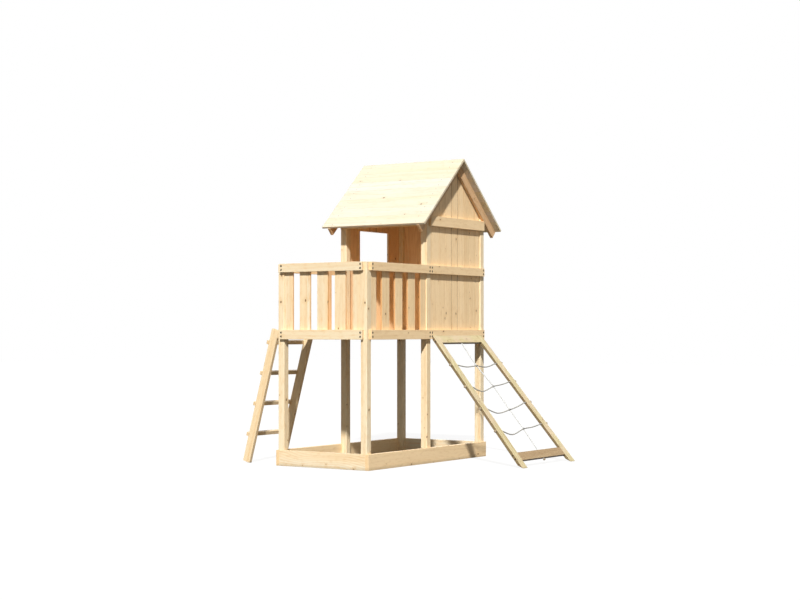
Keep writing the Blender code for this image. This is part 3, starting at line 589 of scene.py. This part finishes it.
def rope_surface(route, aside, radius, lay, sides, closed):
    """Three-strand rope along a route.

    The point at distance s and angle a is the route's point plus the radius times
    0.80 + 0.20 |cos 1.5(a - 2 pi s / lay)|, along cos a of the aside direction and sin a
    of the direction square to it. On a closed route the lay is fitted to whole turns.
    """
    if closed:
        forward = unit(np.roll(route, -1, axis=0) - np.roll(route, 1, axis=0))
        gaps = np.linalg.norm(np.roll(route, -1, axis=0) - route, axis=1)
        run = np.concatenate(([0.0], np.cumsum(gaps)[:-1]))
        total = gaps.sum()
        turns = max(1, round(total / lay))
        turn = run / total * turns
        turn_end = np.append(turn, turns)
    else:
        forward = unit(np.gradient(route, axis=0))
        run = np.concatenate(([0.0], np.cumsum(np.linalg.norm(np.diff(route, axis=0), axis=1))))
        turn = run / lay
        turn_end = turn
    side = unit(aside - forward * np.sum(aside * forward, axis=1, keepdims=True))
    square = np.cross(forward, side)
    angle = np.linspace(0.0, 2 * np.pi, sides, endpoint=False)
    phase = angle[None, :] - 2 * np.pi * turn[:, None]
    reach = radius * (0.80 + 0.20 * np.abs(np.cos(1.5 * phase)))
    points = (route[:, None] + side[:, None] * (np.cos(angle)[None, :] * reach)[..., None]
              + square[:, None] * (np.sin(angle)[None, :] * reach)[..., None])
    rings = len(route)
    last = rings if closed else rings - 1
    i, j = np.meshgrid(np.arange(last), np.arange(sides), indexing="ij")
    after, beside = (i + 1) % rings, (j + 1) % sides
    quads = np.stack((i * sides + j, i * sides + beside, after * sides + beside,
                      after * sides + j), axis=-1).reshape(-1, 4)
    u = np.stack((j, j + 1, j + 1, j), axis=-1) / sides
    v = np.stack((turn_end[i], turn_end[i], turn_end[i + 1], turn_end[i + 1]), axis=-1)
    uv = np.stack((u, v), axis=-1).reshape(-1, 2)
    faces = quads.tolist()
    points = points.reshape(-1, 3)
    if not closed:
        first, end = list(range(sides))[::-1], list(range((rings - 1) * sides, rings * sides))
        faces += [first, end]
        cap = np.stack((angle / (2 * np.pi), np.zeros(sides)), axis=1)
        uv = np.vstack((uv, cap[::-1], cap))
    return points, faces, uv


def tied_knot(centre, axis, size, radius, lay):
    """A closed rope on a trefoil: 2 + cos 3t from the axis at angle 2t, 1.25 sin 3t along."""
    axis = unit(np.asarray(axis, float))
    first = unit(np.cross(axis, RAMP_OUT + 0.01))
    second = np.cross(axis, first)
    t = np.linspace(0.0, 2 * np.pi, KNOT_STEPS, endpoint=False)[:, None]
    wide = (2 + np.cos(3 * t)) * size
    route = (centre + first * wide * np.cos(2 * t) + second * wide * np.sin(2 * t)
             + axis * np.sin(3 * t) * size * 1.25)
    return rope_surface(route, route - centre, radius, lay, KNOT_SIDES, True)


def gather(parts):
    """Joins several (points, faces, uv) into one, with the faces renumbered."""
    points, faces, uvs, start = [], [], [], 0
    for part_points, part_faces, part_uv in parts:
        points.append(part_points)
        faces += [[start + corner for corner in face] for face in part_faces]
        uvs.append(part_uv)
        start += len(part_points)
    return np.vstack(points), faces, np.vstack(uvs)


def cross_rope(number, down):
    """Route of one cross rope through its bores, and the place of its crossing knot."""
    ends = []
    for sign, place in ((-1, down), (1, down - BACK_ROPE_RISES[number])):
        middle = ramp_point(place, RAMP_CORE, RAMP_MIDDLE)
        half = half_spacing(middle[2])
        outer = half + RAMP_BOARD_WIDTH / 2 + END_KNOT_OUT
        inner = half - RAMP_BOARD_WIDTH / 2 - ROPE_STRAIGHT
        ends.append((middle + (0, sign * outer, 0), middle + (0, sign * inner, 0)))
    shift, across = ROPE_CROSSINGS[number]
    crossing = ramp_point(down + shift, RAMP_CORE, RAMP_MIDDLE + across)
    lows = [(inner + crossing) / 2 - (0, 0, sag)
            for (_, inner), sag in zip(ends, ROPE_SAGS[number])]
    free = smooth_route([ends[0][1], lows[0], crossing, lows[1], ends[1][1]], ROPE_STEP)
    straight = [np.linspace(ends[0][0], ends[0][1], RAIL_STEPS)[:-1], free,
                np.linspace(ends[1][1], ends[1][0], RAIL_STEPS)[1:]]
    return np.vstack(straight), crossing


def screw_heads(places, normals, width):
    """Flat round screw heads with a cross recess, one at each place.

    In halves of the width, the height at radius r and angle a is 0.02 plus a low dome,
    0.10 (1 - r^4), less a recess of 0.16 (1 - m / 0.18) where m, the smaller of |r cos a|
    and |r sin a|, is under 0.18 and r is under 0.6; the middle lies at -0.06.
    """
    rings, sides = 5, 12
    radius = np.linspace(0.0, 1.0, rings)[1:, None]
    angle = np.linspace(0.0, 2 * np.pi, sides, endpoint=False)[None, :]
    x, y = radius * np.cos(angle), radius * np.sin(angle)
    thin = np.minimum(np.abs(x), np.abs(y))
    recess = np.clip(1 - thin / 0.18, 0, 1) * (radius < 0.6)
    z = 0.10 * (1 - radius ** 4) - 0.16 * recess
    grid = np.stack((x, y, z + 0.02), axis=-1).reshape(-1, 3)
    skirt = grid[-sides:] * (1.0, 1.0, 0.0) - (0, 0, 0.25)
    under = np.array([[0.0, 0.0, -0.25]])
    head = np.vstack(([[0.0, 0.0, -0.06]], grid, skirt, under)) * (width / 2)
    pairs = [(a, (a + 1) % sides) for a in range(sides)]
    faces = [[0, 1 + a, 1 + b] for a, b in pairs]
    for ring in range(rings - 1):
        low = 1 + ring * sides
        faces += [[low + a, low + sides + a, low + sides + b, low + b] for a, b in pairs]
    base = 1 + (rings - 1) * sides
    faces += [[len(head) - 1, base + b, base + a] for a, b in pairs]
    normals = unit(np.asarray(normals, float))
    helper = np.where(np.abs(normals[:, 2:3]) > 0.9, (1.0, 0.0, 0.0), (0.0, 0.0, 1.0))
    first = unit(np.cross(helper, normals))
    second = np.cross(normals, first)
    places = np.asarray(places, float)
    turned = (places[:, None] + head[None, :, 0:1] * first[:, None]
              + head[None, :, 1:2] * second[:, None] + head[None, :, 2:3] * normals[:, None])
    count = len(head)
    every = [[c + n * count for c in face] for n in range(len(places)) for face in faces]
    return turned.reshape(-1, 3), every


# Operators


class PLAYHOUSE_OT_posts(Operator):
    """Gives the six posts upright spruce"""
    bl_idname = "playhouse.posts"
    bl_label = "Posts"

    def execute(self, context):
        dress(timber("post_spruce", UP, ALONG_X, early=(0.88, 0.78, 0.57, 1.0), rings=0.34,
                     tone=0.28, knots=0.42), "post_*")
        return {"FINISHED"}


class PLAYHOUSE_OT_rails(Operator):
    """Gives the rails, base boards and eave beam spruce along their length"""
    bl_idname = "playhouse.rails"
    bl_label = "Rails"

    def execute(self, context):
        look = context.scene.playhouse_timber
        wide = timber("front_rail_spruce", ALONG_X, UP, rings=0.36, tone=0.42)
        dress(wide, "platform_rail_front", "platform_rail_back", "top_rail_front",
              "base_board_back", "front_eave_beam")
        # look.side is painted light: a brighter copy of the early wood for the side rails and
        # boards
        side = timber("side_rail_spruce", ALONG_Y, UP, early=look.side, rings=0.36, tone=0.5)
        dress(side, "platform_rail_left", "platform_rail_right_*", "top_rail_left",
              "top_rail_right", "house_rail_*", "base_board_left", "base_board_right")
        return {"FINISHED"}


class PLAYHOUSE_OT_slats(Operator):
    """Gives the balcony's slats upright spruce with more change from board to board"""
    bl_idname = "playhouse.slats"
    bl_label = "Slats"

    def execute(self, context):
        look = context.scene.playhouse_timber
        # The edge tint of the front slats is painted shade on their narrow edges
        front = timber("front_slat_spruce", UP, ALONG_X, early=(0.83, 0.748, 0.565, 1.0),
                       rings=0.42, knots=0.6, joint=0.0,
                       boards=(FRONT_SLAT_STEP, TOWER.x - FRONT_SLAT_CHANGE),
                       edge=(0.95, 0.76, 0.58, 1.0))
        dress(front, "slat_front_*")
        # Side slats: look.side is painted light on their faces, the edge tint is painted shade on
        # their narrow edges, and inward gives their inner faces painted shade
        for name, inward in (("left", -1), ("right", 1)):
            side = timber(f"{name}_slat_spruce", UP, ALONG_Y, early=look.side, rings=0.42,
                          knots=0.6, joint=0.0,
                          boards=(SIDE_SLAT_STEP, TOWER.y + SIDE_SLAT_CHANGE),
                          edge=(0.76, 0.56, 0.40, 1.0), inward=inward)
            dress(side, f"slat_{name}_*")
        return {"FINISHED"}


class PLAYHOUSE_OT_walls(Operator):
    """Gives the walls upright tongue-and-groove boards"""
    bl_idname = "playhouse.walls"
    bl_label = "Walls"

    def execute(self, context):
        look = context.scene.playhouse_timber
        width = look.wall_board
        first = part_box("wall_right")[0].y + WALL_JOINT_PLACE
        # look.side is painted light on the side walls, and inward gives their inner faces painted
        # shade
        for name, inward in (("left", -1), ("right", 1)):
            side = timber(f"{name}_wall_spruce", UP, ALONG_Y, early=look.side, rings=0.36,
                          knots=0.55, boards=(width, first), joint=0.25,
                          dark_joints=(first, first + width), inward=inward)
            dress(side, f"wall_{name}")
        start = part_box("wall_back")[0].x + WALL_JOINT_PLACE
        # look.side is painted light on the back wall, and inward gives its inner face painted
        # shade
        back = timber("back_wall_spruce", UP, ALONG_X, early=look.side, rings=0.40,
                      knots=0.55, boards=(width, start), inward=-1)
        dress(back, "wall_back")
        return {"FINISHED"}


class PLAYHOUSE_OT_deck(Operator):
    """Gives the deck its boards and the bearers their timber"""
    bl_idname = "playhouse.deck"
    bl_label = "Deck"

    def execute(self, context):
        width = context.scene.playhouse_timber.deck_board
        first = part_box("deck")[0].y
        deck = timber("deck_spruce", ALONG_X, ALONG_Y, early=(0.99, 0.79, 0.54, 1.0),
                      warm=(0.97, 0.73, 0.46, 1.0), rings=0.42, knots=0.6,
                      boards=(width, first))
        dress(deck, "deck")
        dress(timber("bearer_spruce", ALONG_Y, UP, tone=0.6), "deck_bearer_*")
        return {"FINISHED"}


class PLAYHOUSE_OT_sandbox(Operator):
    """Gives the sandbox boards spruce with a little soil at the ground"""
    bl_idname = "playhouse.sandbox"
    bl_label = "Sandbox"

    def execute(self, context):
        look = context.scene.playhouse_timber
        wide = timber("sandbox_end_spruce", ALONG_X, UP, early=(0.84, 0.765, 0.59, 1.0),
                      rings=0.38, tone=0.40, soil=0.035)
        dress(wide, "sandbox_board_front", "sandbox_board_back")
        # look.side is painted light on the sandbox's side boards
        side = timber("sandbox_side_spruce", ALONG_Y, UP, early=look.side, rings=0.34,
                      tone=0.4, soil=0.035)
        dress(side, "sandbox_board_left", "sandbox_board_right")
        return {"FINISHED"}


def roof_edge(name, sign):
    """Upper edge of a slope at its eave, the way up the slope and the way out from it."""
    low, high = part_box(f"roof_{name}")
    rise, run = math.sin(ROOF_PITCH), math.cos(ROOF_PITCH)
    edge = Vector((0.0, low.y if sign > 0 else high.y, low.z + ROOF_THICKNESS * run))
    return edge, Vector((0.0, sign * run, rise)), Vector((0.0, -sign * rise, run))


class PLAYHOUSE_OT_roof(Operator):
    """Gives the roof slopes pale boards and the rafters spruce along the slope"""
    bl_idname = "playhouse.roof"
    bl_label = "Roof"

    def execute(self, context):
        look = context.scene.playhouse_timber
        width = EAVE_RUN / math.cos(ROOF_PITCH) / look.roof_boards
        for name, sign in SLOPES:
            edge, slope, _ = roof_edge(name, sign)
            boards = timber(f"{name}_roof_spruce", ALONG_X, slope, early=look.roof,
                            warm=(0.72, 0.655, 0.47, 1.0), late=(0.63, 0.53, 0.35, 1.0),
                            rings=0.3, knots=0.3, joint=0.12, boards=(width, slope.dot(edge)))
            dress(boards, f"roof_{name}")
            # The rafters' darker, redder wood is painted shade on their faces
            rafter = timber(f"{name}_rafter_shaded_spruce", slope, ALONG_X, rings=0.4, tone=0.8,
                            early=(0.80, 0.55, 0.33, 1.0), warm=(0.72, 0.47, 0.26, 1.0),
                            late=(0.46, 0.27, 0.12, 1.0))
            dress(rafter, f"rafter_{name}_*")
        return {"FINISHED"}


class PLAYHOUSE_OT_ladder(Operator):
    """Gives the ladder's stringers, rungs and block their timber"""
    bl_idname = "playhouse.ladder"
    bl_label = "Ladder"

    def execute(self, context):
        lean = Vector((math.sin(LADDER_LEAN), 0.0, math.cos(LADDER_LEAN)))
        dress(timber("stringer_spruce", lean, ALONG_Y, rings=0.4, tone=0.45, soil=0.02),
              "ladder_stringer_*")
        # The rungs' darkened early wood is painted shade; the ladder's block shares it
        rung = timber("rung_shaded_spruce", ALONG_Y, UP, early=(0.70, 0.60, 0.42, 1.0), rings=0.4,
                      tone=0.5, knots=0.3)
        dress(rung, "ladder_rung_*", "ladder_cleat")
        return {"FINISHED"}


class PLAYHOUSE_OT_ramp(Operator):
    """Gives the ramp's rails and crossbars greenish treated pine"""
    bl_idname = "playhouse.ramp"
    bl_label = "Ramp"

    def execute(self, context):
        look = context.scene.playhouse_timber
        down = Vector(RAMP_DOWN)
        treated = {"early": look.treated, "late": look.treated_late, "rings": 0.5,
                   "warm": (0.60, 0.46, 0.26, 1.0), "patches": (0.66, 0.525, 0.38, 1.0)}
        # The edge tints of the rails and the bars below are painted shade on their narrow edges
        rail = timber("ramp_rail_pine", down, ALONG_Y, tone=0.35, knots=0.8, soil=0.02,
                      edge=(0.38, 0.33, 0.28, 1.0), **treated)
        dress(rail, "ramp_rail_*")
        bar = timber("ramp_top_bar_pine", ALONG_Y, down, tone=0.4, knots=0.7,
                     edge=(0.25, 0.20, 0.16, 1.0), **treated)
        dress(bar, "ramp_crossbar_top")
        low = timber("ramp_foot_bar_pine", ALONG_Y, down, early=(0.47, 0.345, 0.195, 1.0),
                     late=(0.28, 0.18, 0.09, 1.0), warm=(0.42, 0.29, 0.16, 1.0), rings=0.5,
                     tone=0.6, knots=0.7, edge=(0.20, 0.14, 0.08, 1.0))
        dress(low, "ramp_crossbar_foot")
        return {"FINISHED"}


class PLAYHOUSE_OT_rope_net(Operator):
    """Makes the rope net and its knots from laid rope"""
    bl_idname = "playhouse.rope_net"
    bl_label = "Rope net"

    def execute(self, context):
        look = context.scene.playhouse_rope
        radius = look.diameter / 2
        knot_rope = radius * END_KNOT_ROPE
        knot_size = (look.knot_radius - knot_rope) / 3
        gap = (RAMP_LOW_BAR - RAMP_BOARD_WIDTH) / (len(ROPE_SAGS) + 1)
        aside = RAMP_OUT[None, :]
        ropes, end_knots, inner_knots, crossings = [], [], [], []
        for number in range(len(ROPE_SAGS)):
            route, crossing = cross_rope(number, RAMP_BOARD_WIDTH + gap * (number + 1))
            crossings.append(crossing)
            ropes.append(rope_surface(route, aside, radius, look.lay, ROPE_SIDES, False))
            for end in (route[0], route[-1]):
                end_knots.append(tied_knot(end, (0, 1, 0), knot_size, knot_rope, look.lay))
            inner_knots.append(tied_knot(crossing, RAMP_DOWN, knot_size * CROSSING_KNOT_SIZE,
                                         radius * CROSSING_KNOT_ROPE, look.lay))
        start, leave, enter, end = (
            ramp_point(down, RAMP_CORE, RAMP_MIDDLE)
            for down in (RAMP_BOARD_WIDTH - ROPE_IN_TOP_BAR, RAMP_BOARD_WIDTH + ROPE_STRAIGHT,
                         RAMP_LOW_BAR - ROPE_STRAIGHT, RAMP_LOW_END + END_KNOT_OUT))
        free = smooth_route([leave] + crossings + [enter], ROPE_STEP)
        route = np.vstack((np.linspace(start, leave, TOP_BAR_STEPS)[:-1], free,
                           np.linspace(enter, end, LOW_BAR_STEPS)[1:]))
        centre = rope_surface(route, aside, radius * CENTRE_ROPE, look.lay, ROPE_SIDES, False)
        end_knots.append(tied_knot(end, RAMP_DOWN, knot_size, knot_rope, look.lay))
        for name, fibre, rope, parts in (
                ("net_cross_ropes", "cross_rope_fibre", look.colour, ropes),
                ("net_centre_rope", "centre_rope_fibre", look.centre_colour, [centre]),
                ("net_end_knots", "end_knot_fibre", look.knot_colour, end_knots),
                ("net_crossing_knots", "crossing_knot_fibre", look.crossing_colour,
                 inner_knots)):
            points, faces, uv = gather(parts)
            piece = mesh_piece(name, points, faces, rope_material(fibre, rope), uv)
            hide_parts("rope_net")
        return {"FINISHED"}


# For each side of the tower: its rails, the axis that its faces point along, the axis
# along its rails, and the way that its faces point
RAIL_SIDES = (
    (("platform_rail_front", "top_rail_front"), 1, 0, -1),
    (("platform_rail_back", "base_board_back"), 1, 0, 1),
    (("platform_rail_left", "top_rail_left", "house_rail_left"), 0, 1, -1),
    (("platform_rail_right_balcony", "platform_rail_right_house", "top_rail_right",
      "house_rail_right"), 0, 1, 1))


class PLAYHOUSE_OT_screws(Operator):
    """Puts dark screws in the rails, the ladder's rungs, the ramp and the roof boards"""
    bl_idname = "playhouse.screws"
    bl_label = "Screws"

    def execute(self, context):
        look = context.scene.playhouse_screws
        metal = screw_material("screw_steel", look.colour)
        for name, found, share in (("rail_screws", self.rail_screws(look), 1.0),
                                   ("ladder_screws", self.rung_screws(), SMALL_HEAD),
                                   ("ramp_screws", self.bar_screws(), SMALL_HEAD),
                                   ("roof_screws", self.roof_screws(context), ROOF_HEAD)):
            places, normals = zip(*found)
            points, faces = screw_heads(places, normals, look.head * share)
            mesh_piece(name, points, faces, metal)
        return {"FINISHED"}

    def rail_screws(self, look):
        """Two screws at each end of a rail, and two where the left one passes a post."""
        found = []
        for names, face, run, way in RAIL_SIDES:
            normal = np.eye(3)[face] * way
            for name in names:
                low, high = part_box(name)
                middle = (low.z + high.z) / 2
                for z in (middle - look.apart / 2, middle + look.apart / 2):
                    for along in (low[run] + look.from_end, high[run] - look.from_end):
                        place = [0.0, 0.0, z]
                        place[face] = (high if way > 0 else low)[face]
                        place[run] = along
                        found.append((place, normal))
        low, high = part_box("post_middle_left")
        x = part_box("platform_rail_left")[0].x
        for z in (PLATFORM_RAIL_MIDDLE - look.apart / 2, PLATFORM_RAIL_MIDDLE + look.apart / 2):
            found.append(((x, (low.y + high.y) / 2, z), (-1, 0, 0)))
        return found

    def rung_screws(self):
        out = Vector((-math.cos(LADDER_LEAN), 0.0, math.sin(LADDER_LEAN)))
        found = []
        for number in range(1, 5):
            low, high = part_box(f"ladder_rung_{number}")
            middle = (low + high) / 2 + out * HALF_LADDER_STOCK
            for y in (low.y + HALF_LADDER_STOCK, high.y - HALF_LADDER_STOCK):
                found.append(((middle.x, y, middle.z), out))
        return found

    def bar_screws(self):
        """Two screws through each ramp rail's outer edge into each crossbar."""
        found = []
        for down in RAMP_SCREWS:
            point = ramp_point(down, RAMP_CORE, RAMP_MIDDLE)
            half = half_spacing(point[2]) + RAMP_BOARD_WIDTH / 2
            for way in (-1, 1):
                found.append((point + (0, way * half, 0), (0, way, 0)))
        return found

    def roof_screws(self, context):
        """Two small screws in each roof board over each gable wall."""
        boards = context.scene.playhouse_timber.roof_boards
        width = EAVE_RUN / math.cos(ROOF_PITCH) / boards
        reach = HALF_WIDTH - ROOF_SCREW_INSET
        found = []
        for name, sign in SLOPES:
            edge, slope, out = roof_edge(name, sign)
            for board in range(boards):
                for part in ROOF_SCREW_PLACES:
                    point = edge + slope * (width * (board + part))
                    for x in (TOWER.x - reach, TOWER.x + reach):
                        found.append(((x, point.y, point.z), out))
        return found


class PLAYHOUSE_OT_stage(Operator):
    """Sets the floor, the light and the camera"""
    bl_idname = "playhouse.stage"
    bl_label = "Stage"

    def execute(self, context):
        look = context.scene.playhouse_stage
        self.floor()
        self.sky(context, look)
        for lamp in (("main_light", look.sun, look.sun_strength, 2.5, (1.0, 0.99, 0.97)),
                     ("side_light", (0.93, -0.28, 0.25), look.side_strength, 50.0,
                      (1.0, 0.78, 0.56)),
                     ("front_light", (0.33, -0.94, 0.08), look.front_strength, 50.0,
                      (1.0, 0.93, 0.82)),
                     ("back_light", (-0.62, 0.66, 0.42), look.back_strength, 60.0,
                      (1.0, 0.97, 0.93))):
            self.sun(*lamp)
        lens = bpy.data.cameras.new("camera")
        lens.lens = look.lens
        lens.sensor_width = 36.0
        lens.shift_y = look.horizon
        lens.clip_end = 200.0
        camera = bpy.data.objects.new("camera", lens)
        camera.location = Vector(look.place) + TOWER
        camera.rotation_euler = (math.pi / 2, 0.0, look.turn)
        context.scene.collection.objects.link(camera)
        context.scene.camera = camera
        context.scene.view_settings.view_transform = "Standard"
        return {"FINISHED"}

    def by_view(self, n, unseen, seen):
        """One shader for the light that falls on the object, another for what is seen."""
        path = n.add("LightPath").outputs
        share = n.maths("ADD", path["Is Camera Ray"], path["Is Glossy Ray"], clamp=True)
        share = n.maths("ADD", share, path["Is Transmission Ray"], clamp=True)
        return n.add("MixShader", {0: share, 1: unseen.outputs[0],
                                   2: seen.outputs[0]}).outputs[0]

    def floor(self):
        mesh = bpy.data.meshes.new("floor")
        reach, z = 40.0, -0.0005
        corners = [(-reach, -reach, z), (reach, -reach, z), (reach, reach, z), (-reach, reach, z)]
        mesh.from_pydata(corners, [], [(0, 1, 2, 3)])
        floor = bpy.data.objects.new("floor", mesh)
        bpy.context.scene.collection.objects.link(floor)
        made, n = blank_material("floor_white")
        dull = n.add("BsdfDiffuse", {"Color": (0.10, 0.10, 0.10, 1.0)})
        glow = n.add("Emission", {"Color": WHITE, "Strength": 0.90})
        thin = n.add("BsdfDiffuse", {"Color": (0.11, 0.11, 0.11, 1.0)})
        both = n.add("AddShader", {0: glow.outputs[0], 1: thin.outputs[0]})
        n.add("OutputMaterial", {0: self.by_view(n, dull, both)})
        mesh.materials.append(made)

    def sky(self, context, look):
        world = bpy.data.worlds.new("white_sky")
        context.scene.world = world
        world.use_nodes = True
        world.node_tree.nodes.clear()
        n = Nodes(world.node_tree)
        soft = n.add("Background", {"Color": (1.0, 0.98, 0.95, 1.0), "Strength": look.sky})
        white = n.add("Background", {"Color": WHITE, "Strength": 1.0})
        n.add("OutputWorld", {0: self.by_view(n, soft, white)})

    def sun(self, name, towards, strength, softness, tint):
        lamp = bpy.data.lights.new(name, "SUN")
        lamp.energy = strength
        lamp.angle = math.radians(softness)
        lamp.color = tint
        light = bpy.data.objects.new(name, lamp)
        light.rotation_euler = Vector(towards).to_track_quat("Z", "Y").to_euler()
        bpy.context.scene.collection.objects.link(light)


GROUPS = {"playhouse_timber": PlayhouseTimber, "playhouse_rope": PlayhouseRope,
          "playhouse_screws": PlayhouseScrews, "playhouse_stage": PlayhouseStage}
STEPS = (PLAYHOUSE_OT_posts, PLAYHOUSE_OT_rails, PLAYHOUSE_OT_slats, PLAYHOUSE_OT_walls,
         PLAYHOUSE_OT_deck, PLAYHOUSE_OT_sandbox, PLAYHOUSE_OT_roof, PLAYHOUSE_OT_ladder,
         PLAYHOUSE_OT_ramp, PLAYHOUSE_OT_rope_net, PLAYHOUSE_OT_screws, PLAYHOUSE_OT_stage)


class PLAYHOUSE_PT_panel(Panel):
    """Lists the playhouse's steps, sizes and colours"""
    bl_idname = "PLAYHOUSE_PT_panel"
    bl_label = "Playhouse"
    bl_space_type = "VIEW_3D"
    bl_region_type = "UI"
    bl_category = "Playhouse"

    def draw(self, context):
        for name, kind in GROUPS.items():
            box = self.layout.box()
            settings = getattr(context.scene, name)
            for field in kind.__annotations__:
                box.prop(settings, field)
        for step in STEPS:
            self.layout.operator(step.bl_idname)


def register():
    for kind in (*GROUPS.values(), *STEPS, PLAYHOUSE_PT_panel):
        bpy.utils.register_class(kind)
    for name, kind in GROUPS.items():
        setattr(bpy.types.Scene, name, PointerProperty(type=kind))


def unregister():
    for name in GROUPS:
        delattr(bpy.types.Scene, name)
    for kind in (PLAYHOUSE_PT_panel, *reversed(STEPS), *GROUPS.values()):
        bpy.utils.unregister_class(kind)


def main():
    register()
    bpy.ops.playhouse.posts()
    bpy.ops.playhouse.rails()
    bpy.ops.playhouse.slats()
    bpy.ops.playhouse.walls()
    bpy.ops.playhouse.deck()
    bpy.ops.playhouse.sandbox()
    bpy.ops.playhouse.roof()
    bpy.ops.playhouse.ladder()
    bpy.ops.playhouse.ramp()
    bpy.ops.playhouse.rope_net()
    bpy.ops.playhouse.screws()
    bpy.ops.playhouse.stage()


if __name__ == "__main__":
    main()
